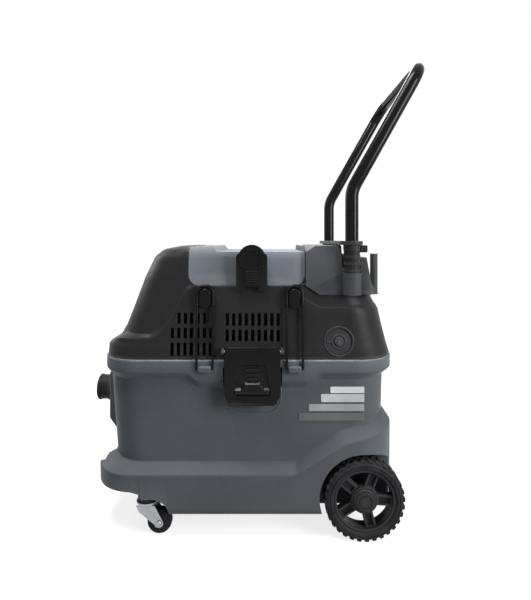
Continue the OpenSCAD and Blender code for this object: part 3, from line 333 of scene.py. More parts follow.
def front_prism(points, x0, x1, name="prism"):
    """Prism of a Y-Z outline between two X planes."""
    verts = [(x, y, z) for x in (x0, x1) for y, z in points]
    return build(name, verts, prism_faces(len(points)))


def block(low, high, name="block"):
    (x0, y0, z0), (x1, y1, z1) = low, high
    return side_prism([(x0, z0), (x1, z0), (x1, z1), (x0, z1)], y0, y1, name)


def arc(cx, cz, r, start, end, steps=12):
    """Points along an arc, from one angle in degrees to another."""
    angles = [math.radians(start + (end - start) * k / steps) for k in range(steps + 1)]
    return [(cx + r * math.cos(a), cz + r * math.sin(a)) for a in angles]


def rounded_rect(x0, z0, x1, z1, low_r, high_r):
    """Rectangle with one radius at its lower corners and another at its upper ones."""
    return (arc(x0 + low_r, z0 + low_r, low_r, 180, 270) + arc(x1 - low_r, z0 + low_r, low_r, 270, 360)
            + arc(x1 - high_r, z1 - high_r, high_r, 0, 90) + arc(x0 + high_r, z1 - high_r, high_r, 90, 180))


def lathe(profile, matrix, steps=96, closed=False, name="turned"):
    """Turns (radius, height) points about local Z and places the result."""
    verts, faces = [], []
    n = len(profile)
    for k in range(steps):
        a = 2 * math.pi * k / steps
        verts += [matrix @ Vector((r * math.cos(a), r * math.sin(a), h)) for r, h in profile]
    last = n if closed else n - 1
    for k in range(steps):
        a, b = k * n, (k + 1) % steps * n
        faces += [[a + i, b + i, b + (i + 1) % n, a + (i + 1) % n] for i in range(last)]
    return build(name, verts, faces)


def rod(r, low, high, matrix, steps=64):
    """Cylinder about local Z between two heights."""
    return lathe([(0, low), (r, low), (r, high), (0, high)], matrix, steps)


def facing_rear(x, y, z):
    """Frame whose local Z points to the rear."""
    return Matrix.Translation((x, y, z)) @ Matrix.Rotation(math.radians(90), 4, "Y")


def facing_near(x, y, z, tilt=0):
    """Frame whose local Z points to the near side, leaning up by the tilt."""
    return Matrix.Translation((x, y, z)) @ Matrix.Rotation(math.radians(90 - tilt), 4, "X")


def loft(rings, name):
    """Solid through rings with as many points each."""
    n = len(rings[0])
    faces = [list(range(n)), [(len(rings) - 1) * n + i for i in reversed(range(n))]]
    for k in range(len(rings) - 1):
        low, high = k * n, (k + 1) * n
        faces += [[low + i, high + i, high + (i + 1) % n, low + (i + 1) % n] for i in range(n)]
    return build(name, [p for ring in rings for p in ring], faces)


def outline(x0, x1, hw, r, stations=128, steps=26):
    """Rounded rectangle in plan, with even stations along its two sides."""
    xs = [x0 + r + (x1 - x0 - 2 * r) * k / stations for k in range(1, stations)]
    return (arc(x0 + r, r - hw, r, 180, 270, steps) + [(x, -hw) for x in xs]
            + arc(x1 - r, r - hw, r, 270, 360, steps) + arc(x1 - r, hw - r, r, 0, 90, steps)
            + [(x, hw) for x in reversed(xs)] + arc(x0 + r, hw - r, r, 90, 180, steps))


def lookup(x, table):
    """Straight interpolation in a table of (x, value)."""
    if x <= table[0][0]:
        return table[0][1]
    for (xa, a), (xb, b) in zip(table, table[1:]):
        if x <= xb:
            return a + (b - a) * (x - xa) / (xb - xa)
    return table[-1][1]


def soft_lookup(x, table, reach=4, samples=7):
    """The same with its kinks rounded over the reach."""
    return sum(lookup(x + reach * (2 * k / (samples - 1) - 1), table) for k in range(samples)) / samples


def ring(x0, x1, hw, r, height):
    """Outline lifted to a height, or to a table of heights along X."""
    if isinstance(height, (int, float)):
        return [Vector((x, y, height)) for x, y in outline(x0, x1, hw, r)]
    return [Vector((x, y, soft_lookup(x, height))) for x, y in outline(x0, x1, hw, r)]


def round_corners(rings, reaches, steps=4):
    """Rounds the corners of the profile that runs up through the rings."""
    rows = [rings[0]]
    for below, middle, above, reach in zip(rings, rings[1:], rings[2:], reaches):
        for k in range(steps + 1):
            t = k / steps
            row = []
            for a, p, b in zip(below, middle, above):
                start = p + (a - p).normalized() * min(reach, (a - p).length * 0.45)
                end = p + (b - p).normalized() * min(reach, (b - p).length * 0.45)
                row.append(start.lerp(p, t).lerp(p.lerp(end, t), t))
            rows.append(row)
    return rows + [rings[-1]]


def sweep(points, radii, sides, name):
    """Round bar along a path, with a radius at each point."""
    points = [Vector(p) for p in points]
    tangents = [(points[min(i + 1, len(points) - 1)] - points[max(i - 1, 0)]).normalized()
                for i in range(len(points))]
    across = tangents[0].orthogonal().normalized()
    rings = []
    for p, t, r in zip(points, tangents, radii):
        across = (across - t * across.dot(t)).normalized()
        up = t.cross(across)
        angles = [2 * math.pi * k / sides for k in range(sides)]
        rings.append([p + (across * math.cos(a) + up * math.sin(a)) * r for a in angles])
    return loft(rings, name)


def soften(node, width):
    """The CAD node's own shape with its sharp edges rounded."""
    bm = bmesh.new()
    bm.from_mesh(frame["nodes"][node].data)
    bmesh.ops.remove_doubles(bm, verts=bm.verts, dist=0.01 * MM)
    bmesh.ops.dissolve_limit(bm, angle_limit=math.radians(0.4), verts=bm.verts, edges=bm.edges)
    mesh = bpy.data.meshes.new(node)
    bm.to_mesh(mesh)
    bm.free()
    return bevel(add_object(node + "_soft", mesh), width)


# ---------- tank ----------

SKIRT = (-325, 298, 195, 85)       # front, rear, half-width and corner radius of the skirt in plan
TANK_TOP = 355
WHEEL = (228, 182, 80)             # axle's X, wheel's middle in Y, axle's Z
# Lower and upper edge of the ledge round the tank, seen from the side
LEDGE_LOW = [(-400, 130), (88, 130), (191, 192), (298, 217)]
LEDGE_HIGH = [(-400, 149), (92, 149), (181, 211), (282, 241)]
INLET_Z = 246
TRAY_HW = 112                      # half-width of the tray in the front bumper
DIP_HW = 150                       # half-width of the dip in the bumper's top edge
DIP_R = 250
DIP_Z = 344                        # middle of the dip's circle
BAIL_X = (-92.5, 89)               # middles of the front and the rear bail
THROUGH = 300                      # how far cutters reach to both sides


def band_low(drop):
    """Lower edge of the rim band, seen from the side, moved down by the drop."""
    return [(-400, 332 - drop), (-128, 332 - drop), (-107, 315 - drop), (117, 315 - drop), (140, 332 - drop),
            (400, 332 - drop)]


def plan(front_in, rear_in, side_in, height, r=None):
    """Ring of the tank, set in from the skirt at its front, rear and sides."""
    x0, x1, hw, corner = SKIRT
    return ring(x0 + front_in, x1 - rear_in, hw - side_in, r or corner, height)


def tank_body():
    """The tank's outside with its inlet boss, less its room."""
    outer = [plan(8, 6, 5, 50, 80), plan(1, 1, 1, 58), plan(0, 0, 0, LEDGE_LOW),
             plan(34, 16, 19, LEDGE_HIGH, 78), plan(22, 14, 18, band_low(15), 78),
             plan(12, -2, 7, band_low(0)), plan(12, -2, 7, TANK_TOP)]
    tank = loft(round_corners(outer, (5, 2.6, 2.2, 2, 2)), "tank")
    boss = [(-288, 158), (-315, 166), (-331, 188), (-331, 294), (-324, 301), (-296, 301)]
    cut(tank, bevel(side_prism(boss, -50, 50), 7, 4), operation="UNION")
    inner = [plan(175, 120, 55, 62, 50), plan(43, 30, 48, 130, 60), plan(40, 26, 48, 176, 60),
             plan(37, 20, 24, 202, 74), plan(27, 18, 22, 315, 74), plan(27, 18, 22, TANK_TOP + 1, 74)]
    return cut(tank, loft(inner, "cavity"))


def cut_front(tank):
    """The castor bay, the lifted underside of the bumper's corners, the tray and the dip before it."""
    turns = [math.pi * k / 20 for k in range(11)]
    bay = [(-400, 0), (-164, 0)] + [(-200 + 36 * math.cos(a), 50 + 31 * math.sin(a)) for a in turns]
    cut(tank, side_prism(bay + [(-310, 75), (-326, 81), (-400, 81)], -THROUGH, THROUGH))
    lift = [(-219, 70), (-219, 82), (-225, 91), (-242, 96), (-306, 97), (-318, 100), (-325, 107),
            (-400, 108), (-400, 70)]
    for low, high in ((-THROUGH, -TRAY_HW - 5), (TRAY_HW + 5, THROUGH)):
        cut(tank, side_prism(lift, low, high))
    cut(tank, block((-312, -TRAY_HW, 86), (-294, TRAY_HW, 168)))
    dip = [(y, DIP_Z - math.sqrt(DIP_R ** 2 - y ** 2)) for y in range(-DIP_HW, DIP_HW + 1, 6)]
    cut(tank, front_prism(dip + [(DIP_HW, 160), (-DIP_HW, 160)], -330, -310, "dip"))


def cut_side(tank, side):
    """The wheel arch, the hollow inside the skirt, and the scoop behind the side latch."""
    x, _, z = WHEEL
    arch = [(0, 0), (90, 0), (90, 41.5), (90.4, 42.3), (91.5, 43), (93, 43.4), (93, 80), (0, 80)]
    place = Matrix.Translation((x, side * 152, z)) @ Matrix.Rotation(math.radians(-90 * side), 4, "X")
    cut(tank, lathe(arch, place, 128))
    low, high = sorted((side * 189, side * 153))
    cut(tank, block((-148, low, -1), (128, high, 116)))
    scoop = [[(cx, side * y0, cz) for cx, cz in rounded_rect(4 - w, 330 - h, 4 + w, 345, 30, 4)]
             for y0, w, h in ((174.8, 51, 66), (177.6, 58, 82), (190, 60, 86))]
    cut(tank, loft(scoop, "scoop"))


def scoop_rim():
    """Thin rim round the scoop behind the near side latch."""
    r, z = 31, 278.5
    edge = [(-53.5, 328)] + arc(-22.5, z, r, 180, 270, 8) + arc(30.5, z, r, 270, 360, 8) + [(61.5, 328)]
    return sweep([(x, -176.9, z) for x, z in edge], [1.2] * len(edge), 10, "rim")


def bail_lug(x, side):
    """Lug on the rim band that a bail's two ends turn in."""
    low, high = sorted((side * 197, side * 186))
    return bevel(block((x - 13.2, low, 334), (x + 13.2, high, 347)), 3.6, 5)


def make_tank():
    tank = tank_body()
    cut_front(tank)
    for side in (-1, 1):
        cut_side(tank, side)
    cut(tank, rod(28, 0, 120, facing_rear(-370, 0, INLET_Z)))
    rim = scoop_rim()
    join(tank, far_copy(rim), rim, *[bail_lug(x, side) for x in BAIL_X for side in (-1, 1)])
    piece(tank, "tank", degrees=28)


# ---------- head ----------

HEAD_PLAN = (-304, 292, 177, 74)   # front, rear, half-width and corner radius of the head in plan
HEAD_LOW = 360.5
HEAD_TOP = 587
HEAD_ROWS = 72
HEAD_STATIONS = 120                # along each side
WALL = 5
# Insets of the head's core at its front, rear and sides, by height
CORE = [(360.5, 0, 0, 0), (395, 19, 8, 4), (418, 32, 13, 6), (452, 45, 21, 9), (520, 69, 52, 17),
        (564, 89, 58, 23), (580, 108, 60, 29), (587, 144, 67, 42)]
# The same for the side panels that stand proud of it
PANELS = [(360.5, -6, -6, -6), (381, -5, 0, -4.5), (390, 1, 2, -3), (418, 4, 9, -0.5), (452, 4, 16, 2.5),
          (509.5, 4, 46, 10), (587, 60, 60, 30)]
# Upper edge of the side panels, seen from the side
PANEL_EDGE = [(-330, 389), (-303, 390), (-284, 403), (-270, 407), (-205, 409), (-192, 415), (-180, 428),
              (-145, 492), (-136, 504), (-124, 509.5)]
EDGE_RAMP = 9                      # width of the slope along that edge
SEAM = 488                         # lower edge of the handle mount
# Shelf below the handle mount: where it starts, its lower edge seen from the side, and its depth
SHELF_X = 101
SHELF_EDGE = [(100, 484), (141, 461.6), (300, 461.6)]
SHELF_DEPTH = 1.6
# Rows of slots: the first one's X, how many, and their lower and upper ends
SLOT_ROWS = [(-146.5, 5, 428, 452), (-159.5, 7, 399, 422), (-159.5, 7, 364.5, 392.5), (-48, 9, 424, 451),
             (-48, 9, 393, 418)]
SLOT_PITCH = 13
LID_X = (-130.5, 112.5)
LID_LOW = 504.9


def insets(table, z):
    """Front, rear and side inset at a height."""
    return [lookup(z, [(row[0], row[k]) for row in table]) for k in (1, 2, 3)]


def head_ring(table, z, deeper=0):
    x0, x1, hw, corner = HEAD_PLAN
    front, rear, side = (v + deeper for v in insets(table, z))
    points = outline(x0 + front, x1 - rear, hw - side, corner, HEAD_STATIONS)
    return [Vector((x, y, z)) for x, y in points]


def panel_share(x, z):
    """1 well inside the side panels, 0 above their edge, and a smooth slope between."""
    if z > PANEL_EDGE[-1][1] or z > lookup(x, PANEL_EDGE):
        return 0
    p = Vector((x, z))
    gap = EDGE_RAMP
    for a, b in zip(PANEL_EDGE, PANEL_EDGE[1:]):
        a, b = Vector(a), Vector(b)
        t = max(0, min(1, (p - a).dot(b - a) / (b - a).length_squared))
        gap = min(gap, (p - a.lerp(b, t)).length)
    t = gap / EDGE_RAMP
    return t * t * (3 - 2 * t)


def under_mount(x, z):
    """1 on the narrow shelf that runs below the handle mount, and 0 elsewhere."""
    return 1 if SHELF_X < x and lookup(x, SHELF_EDGE) < z < SEAM + 20 else 0


def head_row(z):
    """Ring of the head: the core, pushed out along its normals where the side panels are."""
    core = head_ring(CORE, z)
    front_gap, rear_gap, side_gap = (c - p for c, p in zip(insets(CORE, z), insets(PANELS, z)))
    row = []
    for before, point, after in zip(core[-1:] + core[:-1], core, core[1:] + core[:1]):
        along = (after - before).normalized()
        out = Vector((along.y, -along.x, 0))
        proud = out.x ** 2 * (front_gap if out.x < 0 else rear_gap) + out.y ** 2 * side_gap
        proud *= panel_share(point.x + out.x * proud, z)
        row.append(point + out * (proud - SHELF_DEPTH * under_mount(point.x, z)))
    return row


def slot_cutter(x, low, high, width=7.6, corner=2.6):
    w = width / 2
    points = [(-w, low + corner), (-w + corner, low), (w - corner, low), (w, low + corner),
              (w, high - corner), (w - corner, high), (-w + corner, high), (-w, high - corner)]
    return side_prism([(x + px, pz) for px, pz in points], -250, 250, "slot")


def lid_outline(top, r=23):
    """The lid's place in the head, seen from the side, up to a height above the head."""
    x0, x1 = LID_X
    z = LID_LOW + r
    return [(x0, top)] + arc(x0 + r, z, r, 180, 270) + arc(x1 - r, z, r, 270, 360) + [(x1, top)]


def make_rests(head):
    """The noses behind the bails' loops, cut to the head's skin."""
    noses = []
    for x in BAIL_X:
        nose = arc(x, 490, 11.3, 0, 180, 16) + [(x - 11.3, 470), (x - 5, 462), (x + 5, 462), (x + 11.3, 470)]
        noses.append(bevel(side_prism(nose, -185, -160), 2.4, 4))
    rests = join(*noses)
    cut(rests, copy_of(head))
    piece(join(rests, far_copy(rests)), "bail_rests", material=MATERIALS["gloss_black"])


def on_head(x, z):
    """Point of the head's near side at an X and a height."""
    near = sorted((p.x, p.y) for p in head_row(z) if p.y < 0)
    return (x, lookup(x, near), z)


def make_bead(corners):
    """Thin bead on the head's near side through the given points, each an X and a height."""
    corners = [Vector(p) for p in corners]
    steps = 8
    route = [a.lerp(b, k / steps) for a, b in zip(corners, corners[1:]) for k in range(steps)] + corners[-1:]
    points = [on_head(p.x, p.y) for p in route]
    return sweep(points, [0.9] * len(points), 10, "bead")


# The dial's local Z stands out of the head; the switch panel's local X goes into it
DIAL_PLACE = facing_near(179, -179.6, 394, 5)
SLOPE_PLACE = Matrix.Translation((-247, 0, 486)) @ Matrix.Rotation(math.atan2(24, 68), 4, "Y")


def cut_head(head):
    """Hollows the head and cuts the places of the lid, handle mount, slots, filter, dial and switch panel."""
    room = loft([head_ring(CORE, z, WALL) for z in (359, 395, 418, 452, 520, 564, 582)], "room")
    cut(head, cut(room, block((-136, -THROUGH, 499), (117.5, THROUGH, 600))))
    top = 700
    cut(head, side_prism(lid_outline(top), -THROUGH, THROUGH))
    mount = [(113, 505.5), (141, SEAM), (500, SEAM), (500, top), (113, top)]
    cut(head, side_prism(mount, -THROUGH, THROUGH))
    slots = [slot_cutter(x + SLOT_PITCH * i, low, high) for x, n, low, high in SLOT_ROWS for i in range(n)]
    cut(head, join(*slots))
    cut(head, block((-93, -123, 470), (75, 123, 520)))
    cut(head, rod(31.3, -5.3, 40, DIAL_PLACE))
    cut(head, moved(block((-1.5, -21, -13), (20, 21, 13)), SLOPE_PLACE))


def near_trims():
    """Beads and side latch lugs on the head's near side."""
    trims = [make_bead(((106, 480.5), (141, 461), (222, 461))), make_bead(PANEL_EDGE[4:-1])]
    for x0, x1 in ((-58, -53), (61, 66)):
        lug = [(x0, 372), (x1, 372), (x1, 382), (x0, 382)]
        trims.append(bevel(side_prism(lug, -199.5, -172), 1.5, 2))
    return trims


def lid_hinge(x):
    """Ear and knuckle that the lid's pin runs through, on the far side."""
    wide, pin_y, pin_z = 10, 168, 516
    ear = block((x, 146, 496), (x + wide, pin_y, 510.5))
    neck = block((x, 163, 508), (x + wide, 173, pin_z))
    knuckle = rod(5.5, 0, wide, facing_rear(x, pin_y, pin_z), 32)
    return [bevel(ear, 1, 2), bevel(neck, 0.8), knuckle]


def make_head():
    heights = [HEAD_LOW + (HEAD_TOP - HEAD_LOW) * k / HEAD_ROWS for k in range(HEAD_ROWS + 1)]
    head = loft([head_row(z) for z in heights], "head")
    make_rests(head)
    cut_head(head)
    trims = near_trims()
    trims += [far_copy(trim) for trim in trims]
    join(head, *trims, *lid_hinge(-66), *lid_hinge(38))
    piece(head, "head_shell", degrees=28)


def make_dial():
    bezel = [(26.9, -5), (26.9, 0.2), (27.6, 1.5), (29, 2), (30.2, 1.6), (31, 0.4), (31, -5)]
    piece(lathe(bezel, DIAL_PLACE, closed=True), "dial_bezel")
    face = [(0, 4), (6.5, 4), (8.4, 3.4), (9, 2.2), (9.2, -0.6), (11.8, -0.8), (12.2, 0.6), (13, 1),
            (14.4, 1), (15, 0.4), (15.2, -1), (24.6, -1), (26, -1.5), (26.6, -2.6), (26.6, -5), (0, -5)]
    dial = lathe(face, DIAL_PLACE)
    pointer = moved(bevel(block((-24, -0.9, -1.4), (-11, 0.9, 0.3)), 0.5), DIAL_PLACE)
    thumb = moved(bevel(block((-2, -8, 2), (2.4, 3, 5)), 1, 2), DIAL_PLACE)
    piece(join(dial, pointer, thumb), "dial")


# ---------- latches and bails ----------

def make_side_latch():
    face, floor, front = -200.8, -197.6, -203
    body = side_prism(rounded_rect(-52, 271, 60, 386, 26, 9), face, -190.5, "latch")
    cut(body, front_prism([(front, 362), (face, 362), (-197.2, 388), (front, 388)], -80, 90, "wedge"))
    mouth = [(-35, 289), (42, 289), (31, 354), (-23, 354)]
    bottom = [(-32, 292), (39, 292), (28.5, 350), (-20.5, 350)]
    cut(body, frustum(mouth, bottom, front, floor))
    bevel(body, 1.8, 3, 40)
    lip = [(-30.5, 294), (37.5, 294), (38, 301), (27, 301), (19, 313), (-11, 313), (-19, 301), (-31, 301)]
    shelf = [(x, z + (5 if z > 300 else -1)) for x, z in lip]
    grip = bevel(frustum(lip, shelf, front, floor + 0.4), 0.7, 2, 30)
    ribs = [bevel(block((-9, -201, z), (17, floor + 0.4, z + 3.4)), 1, 2) for z in (322, 331, 340)]
    rim_face, rim_back = rounded_rect(-40, 272.5, 48, 282, 4, 4), rounded_rect(-46, 270.8, 54, 288, 8, 4)
    rim = bevel(frustum(rim_face, rim_back, -202.6, face + 0.4), 0.6, 2, 30)
    hook = bevel(block((-20, -191.5, 290), (28, -178.6, 297.5)), 1.5, 2)
    both_pieces(join(body, grip, rim, hook, *ribs), "side_latch")


def make_lid_latch():
    y_in, y_out = -170.5, -179.5
    x, z, r, recess_r = 2, 562.5, 28, 16
    wide, low, high = 32, 496.5, 572
    disc = side_prism(arc(x, z, r, 0, 360, 64)[:-1], y_out, y_in)
    recess = [(x - recess_r, z - 14), (x + recess_r, z - 14)] + arc(x, z, recess_r, 0, 180, 24)
    cut(disc, side_prism(recess, y_out - 3, y_out + 3.4))
    outline_points = [(x - wide, low), (x + wide, low), (x + wide, high - 6), (x + wide - 3, high),
                      (x - wide + 3, high), (x - wide, high - 6)]
    body = side_prism(outline_points, y_out + 1.2, y_in)
    cut(body, block((x - 13, -190, 490), (x + 13, -160, 503.5)))
    cut(body, side_prism(arc(x, z, r + 0.6, 0, 360, 64)[:-1], y_out - 5, y_out + 4))
    for part in (disc, body):
        cut(part, block((-60, -174, 561.7), (60, -168, 600)))
        for lug_x in (-22, 20):
            cut(part, block((lug_x - 0.5, -179, 546.5), (lug_x + 6.5, -160, 570.5)))
    bevel(disc, 1.4, 3, 40)
    bevel(body, 1.2, 2, 40)
    ribs = [bevel(block((x - 13, y_out - 1.4, h), (x + 13, y_out + 2, h + 2.6)), 0.9, 2)
            for h in range(509, 535, 5)]
    piece(join(disc, body, *ribs), "lid_latch")


def make_bails():
    y, z, lean = 192.6, 340.5, math.radians(5.6)
    leg, rise = 16.25, 150.2
    wire, sleeve, sleeve_len = 2.5, 4, 22
    up = [(-leg, 0), (-leg, rise - sleeve_len - 2)]
    sleeved = [(-leg, rise - sleeve_len)] + arc(0, rise, leg, 180, 0, 18) + [(leg, rise - sleeve_len)]
    path = [(-leg + 11, 0), (-leg + 3, 0), (-leg + 0.6, 0.7), (-leg, 3), up[1]] + sleeved
    path += [(leg, rise - sleeve_len - 2), (leg, 3), (leg - 0.6, 0.7), (leg - 3, 0), (leg - 11, 0)]
    radii = [wire] * 5 + [sleeve] * len(sleeved) + [wire] * 5
    for name, x in zip(("front", "rear"), BAIL_X):
        points = [(x + px, -y + math.sin(lean) * pz, z + math.cos(lean) * pz) for px, pz in path]
        both_pieces(sweep(points, radii, 20, "bail"), "bail_" + name)


# ---------- wheels ----------

WHEEL_PLACE = facing_near(WHEEL[0], -WHEEL[1], WHEEL[2])
LUGS = 32                          # on each shoulder of a rear tyre


def make_tyres():
    tyre = [(62, -19.6), (66, -20), (72, -20), (75.2, -18.6), (77, -16), (77.5, -13), (77.5, 13), (77, 16),
            (75.2, 18.6), (72.4, 20), (71.2, 20), (70.6, 18.8), (69.4, 18.8), (68.8, 20), (65.5, 20),
            (63.5, 19), (62, 17)]
    parts = []
    lug = [(-4.9, 76.2), (4.9, 76.2), (3.9, 80), (-3.9, 80)]
    for k in range(LUGS):
        for side in (-1, 1):
            part = side_prism(lug, side * 10.4 - 7.6, side * 10.4 + 7.6)
            part.data.transform(Matrix.Rotation(math.radians((k + side / 4) * 360 / LUGS), 4, "Y"))
            parts.append(part)
    lugs = bevel(join(*parts), 0.9, 2, 40)
    lugs.data.transform(Matrix.Translation(WHEEL_PLACE.translation * MM))
    both_pieces(join(lathe(tyre, WHEEL_PLACE, 128, closed=True), lugs), "rear_tyre")


def make_rims():
    rim = [(56, -15), (62, -15), (62, 15), (60.5, 16.2), (58.5, 16.4), (57, 15.6), (56.6, 14), (56, 12)]
    hub = [(7, -14), (27, -14), (27, 12), (26, 13.8), (24.4, 14), (23.4, 13.4), (7, 13.4)]
    parts = [lathe(rim, WHEEL_PLACE, 128, closed=True), lathe(hub, WHEEL_PLACE, closed=True)]
    spokes = 5
    for k in range(spokes):
        arm = block((24, -10.5, -8), (58, 10.5, 9))
        cut(arm, block((30, -5.5, 4), (52.5, 5.5, 20)), block((30, -5.5, -20), (52.5, 5.5, -5)))
        bevel(arm, 1.3, 2, 40)
        turn = Matrix.Rotation(math.radians(-4 + 360 / spokes * k), 4, "Z")
        parts.append(moved(arm, WHEEL_PLACE @ turn))
    both_pieces(join(*parts), "rear_rim")


def make_hub_caps():
    cap = [(0, 20.6), (11.8, 20.8), (12.4, 20.2), (14.2, 20.2), (14.8, 21), (17, 20.8), (18.6, 19.8),
           (20, 18.8), (22, 18.4), (23, 17.2), (23, 14), (13, 14), (13, 18.4), (0, 18.4)]
    both_pieces(lathe(cap, WHEEL_PLACE), "hub_cap")


CASTOR_PLACE = facing_near(-187, -165, 25)
SWIVEL = (-213, -165, 0)


def make_castors():
    wheel = [(4.05, -11), (17, -11), (17.6, -9.6), (22, -9.5), (24, -8), (25, -4.5), (25, 4.5), (24, 8),
             (22, 9.5), (17.6, 9.6), (17, 11), (4.05, 11)]
    both_pieces(lathe(wheel, CASTOR_PLACE, 64, closed=True), "castor_wheel")
    swivel = [(0, 60), (19, 60), (20, 61.5), (20, 62.8), (21.6, 63.4), (22, 64.4), (22, 66.6), (21.2, 67.5),
              (0, 67.5)]
    top = lathe(swivel, Matrix.Translation(SWIVEL), 64)
    ear = [(-20, 60), (18, 60)] + arc(26, 25, 9.5, 15, -165, 10) + [(-14, 47)]
    fold = [(-6, 60), (2, 60), (24, 30), (20, 28)]
    plates = []
    for y0, fold_low, fold_high in ((-179.7, -180.7, -179.2), (-152.8, -150.3, -149.3)):
        plate = side_prism([(x + SWIVEL[0], z) for x, z in ear], y0, y0 + 2.5)
        rib = side_prism([(x + SWIVEL[0], z) for x, z in fold], fold_low, fold_high)
        plates += [bevel(plate, 0.7, 2), bevel(rib, 0.7, 2)]
    both_pieces(join(top, *plates), "castor_fork")
    pin = [(0, -17.7), (4, -17.2), (4, 14.9), (5.6, 15), (5.6, 16.4), (4.4, 17.5), (0, 17.7)]
    both_pieces(lathe(pin, CASTOR_PLACE, 32), "castor_axle")


# ---------- inlet and handle ----------

def make_inlet():
    collar = [(25, 0.8), (25.8, 0), (29, 0), (30, 1), (30, 5), (28.5, 6.4), (28.5, 23), (31, 24.6),
              (31.5, 26), (31.5, 37), (28, 37.2), (28, 88), (25, 88)]
    piece(lathe(collar, facing_rear(-368, 0, INLET_Z), closed=True), "inlet_ring")


def make_handle():
    """Swept along the same centre line as the CAD tube: legs, bends, leaning part and crossbar."""
    leg_x, leg_y, foot, bend_z, bend_r, corner_r = 207, 170, 500.5, 702, 60, 55
    lean, lean_len = math.radians(29.2), 303
    reach = bend_r * math.tan(lean / 2)
    half = [(leg_x, -leg_y, foot), (leg_x, -leg_y, 600)]
    for k in range(11):
        a = lean * k / 10
        half.append((leg_x + bend_r * (1 - math.cos(a)), -leg_y, bend_z - reach + bend_r * math.sin(a)))
    start = Vector(half[-1])
    along = Vector((math.sin(lean), 0, math.cos(lean)))
    run = lean_len - reach - corner_r
    for k in range(15):
        b = math.pi / 2 * k / 14
        point = start + along * (run + corner_r * math.sin(b))
        half.append((point.x, -leg_y + corner_r * (1 - math.cos(b)), point.z))
    path = half + [(x, -y, z) for x, y, z in reversed(half)]
    piece(sweep(path, [13.5] * len(path), 40, "tube"), "handle_tube")


# The four plain foil strips: left edge, lower and upper edge, and grey tone
STRIPS = ((162, 288.7, 301.5, 205), (143, 270.4, 286.6, 185), (118, 252, 266.3, 150), (98, 232.7, 248, 96))
STRIP_RIGHT = 230.9


def make_strips():
    """Low on the rear of the tank's near side, with their right edges in line."""
    for k, (left, low, high, tone) in enumerate(STRIPS):
        face = rounded_rect(left, low, STRIP_RIGHT, high, 1.2, 1.2)
        strip = bevel(side_prism(face, -177.9, -175.8), 0.3, 2)
        smooth(strip, 32)
        strip.name = "strip_%d" % k
        # The edge factor gives the strips a faint painted highlight on their edges.
        strip.data.materials.append(glossy(strip.name, linear(tone, tone + 1, tone + 3), 0.35, edge_highlight=1.05))
        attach(strip, "canister")


make_tank()
make_head()
make_dial()
make_side_latch()
make_lid_latch()
make_bails()
make_tyres()
make_rims()
make_hub_caps()
make_castors()
make_inlet()
make_handle()
make_strips()

# Nodes that are shown as they are in the CAD model, and those with only their edges rounded
INSIDE = ("inlet_deflector", "axle", "axle_clips", "filter_frame", "filter_cartridge", "fan_casing",
          "impeller_lower", "impeller_upper", "motor_case", "stator", "rotor", "bearing_bottom",
          "bearing_top", "float_cage", "float_ball", "vent_foam", "lid_seal", "lid_hinge_pin",
          "lid_latch_pin", "latch_pins")
for inner_node in INSIDE:
    inner = frame["nodes"][inner_node]
    inner.data.materials.clear()
    inner.data.materials.append(MATERIALS[SLOT_OF[inner_node]])

SOFTENED = {"lid": 1.2, "handle_mount": 1.5, "cord_hook": 1.2, "cord_gland": 0.8, "head_base": 0.5,
            "tank_seal": 0.4, "switch_panel": 0.7, "rocker_switch": 0.8, "handle_sleeves": 0.8,
            "handle_bridge": 1.2, "clamp_knob_near": 0.6, "clamp_knob_far": 0.6,
            "castor_mount_near": 0.8, "castor_mount_far": 0.8}
for soft_node, width in SOFTENED.items():
    piece(soften(soft_node, width), soft_node)


# ---------- stage, light and camera ----------

CAMERA_PLACE = (30 * MM, -1113 * MM, 600 * MM)
FOCAL_PX = 460
FRAME_PX = (531, 600)
HORIZON_PX = 240
SENSOR = 36


def see_white(material_tree, shown, lit):
    """Mixes a plain white for what the camera, gloss and glass see with what lights the object."""
    nodes, links = material_tree.nodes, material_tree.links
    path = nodes.new("ShaderNodeLightPath")
    seen = nodes.new("ShaderNodeMath")
    seen.operation = "MAXIMUM"
    both = nodes.new("ShaderNodeMath")
    both.operation = "MAXIMUM"
    links.new(path.outputs["Is Camera Ray"], seen.inputs[0])
    links.new(path.outputs["Is Glossy Ray"], seen.inputs[1])
    links.new(seen.outputs[0], both.inputs[0])
    links.new(path.outputs["Is Transmission Ray"], both.inputs[1])
    mix = nodes.new("ShaderNodeMixShader")
    links.new(both.outputs[0], mix.inputs[0])
    links.new(lit, mix.inputs[1])
    links.new(shown, mix.inputs[2])
    return mix.outputs[0]


def make_world():
    world = bpy.data.worlds.new("studio")
    bpy.context.scene.world = world
    world.use_nodes = True
    tree = world.node_tree
    tree.nodes.clear()
    out = tree.nodes.new("ShaderNodeOutputWorld")
    seen = tree.nodes.new("ShaderNodeBackground")
    seen.inputs["Strength"].default_value = 1.0
    seen.inputs["Color"].default_value = (1, 1, 1, 1)
    lit = tree.nodes.new("ShaderNodeBackground")
    lit.inputs["Color"].default_value = (0.95, 0.97, 1, 1)
    lit.inputs["Strength"].default_value = 0.08
    tree.links.new(see_white(tree, seen.outputs[0], lit.outputs[0]), out.inputs["Surface"])


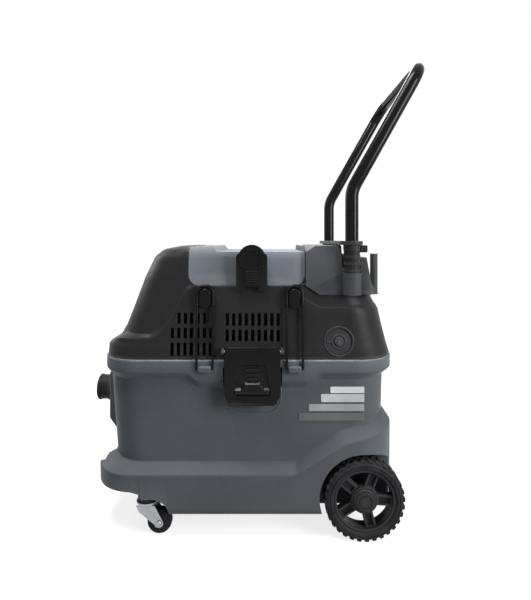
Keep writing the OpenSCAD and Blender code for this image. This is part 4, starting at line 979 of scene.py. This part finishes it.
def make_floor():
    bm = bmesh.new()
    bmesh.ops.create_grid(bm, x_segments=8, y_segments=8, size=6)
    mesh = bpy.data.meshes.new("floor")
    bm.to_mesh(mesh)
    bm.free()
    floor = add_object("floor", mesh)
    material = bpy.data.materials.new("floor")
    material.use_nodes = True
    tree = material.node_tree
    tree.nodes.clear()
    out = tree.nodes.new("ShaderNodeOutputMaterial")
    diffuse = tree.nodes.new("ShaderNodeBsdfDiffuse")
    diffuse.inputs["Color"].default_value = (0.35, 0.35, 0.35, 1)
    place = tree.nodes.new("ShaderNodeTexCoord")
    away = tree.nodes.new("ShaderNodeVectorMath")
    away.operation = "LENGTH"
    fade = tree.nodes.new("ShaderNodeMapRange")
    for key, value in (("From Min", 0.5), ("From Max", 2.2), ("To Min", 0.8), ("To Max", 1.0)):
        fade.inputs[key].default_value = value
    glow = tree.nodes.new("ShaderNodeEmission")
    tree.links.new(place.outputs["Object"], away.inputs[0])
    tree.links.new(away.outputs["Value"], fade.inputs["Value"])
    tree.links.new(fade.outputs["Result"], glow.inputs["Strength"])
    both = tree.nodes.new("ShaderNodeAddShader")
    tree.links.new(diffuse.outputs[0], both.inputs[0])
    tree.links.new(glow.outputs[0], both.inputs[1])
    tree.links.new(see_white(tree, both.outputs[0], diffuse.outputs[0]), out.inputs["Surface"])
    floor.data.materials.append(material)


def make_lamp(name, place, target, size, power):
    data = bpy.data.lights.new(name, "AREA")
    data.shape = "RECTANGLE"
    data.size, data.size_y = size
    data.energy = power
    lamp = bpy.data.objects.new(name, data)
    bpy.context.scene.collection.objects.link(lamp)
    lamp.location = place
    lamp.rotation_euler = (Vector(target) - Vector(place)).to_track_quat("-Z", "Y").to_euler()


def make_camera():
    data = bpy.data.cameras.new("camera")
    data.sensor_width = SENSOR
    data.sensor_fit = "AUTO"
    data.lens = FOCAL_PX * SENSOR / FRAME_PX[1]
    data.shift_y = (HORIZON_PX - FRAME_PX[1] / 2) / FRAME_PX[1]
    camera = bpy.data.objects.new("camera", data)
    bpy.context.scene.collection.objects.link(camera)
    camera.location = CAMERA_PLACE
    camera.rotation_euler = (math.radians(90), 0, 0)
    bpy.context.scene.camera = camera


make_world()
make_floor()
make_lamp("key", (1.5, -1.15, 0.95), (0.15, 0, 0.4), (0.7, 0.9), 37)
make_lamp("top", (-0.45, -0.4, 2.3), (0.0, 0, 0.3), (1.0, 0.9), 62)
make_lamp("rear", (0.4, 1.6, 1.8), (0, 0, 0.5), (1.2, 0.8), 20)
make_lamp("front", (-1.7, 0.9, 1.3), (-0.1, 0, 0.4), (1.0, 0.9), 12)
make_camera()
bpy.context.scene.view_settings.view_transform = "Standard"
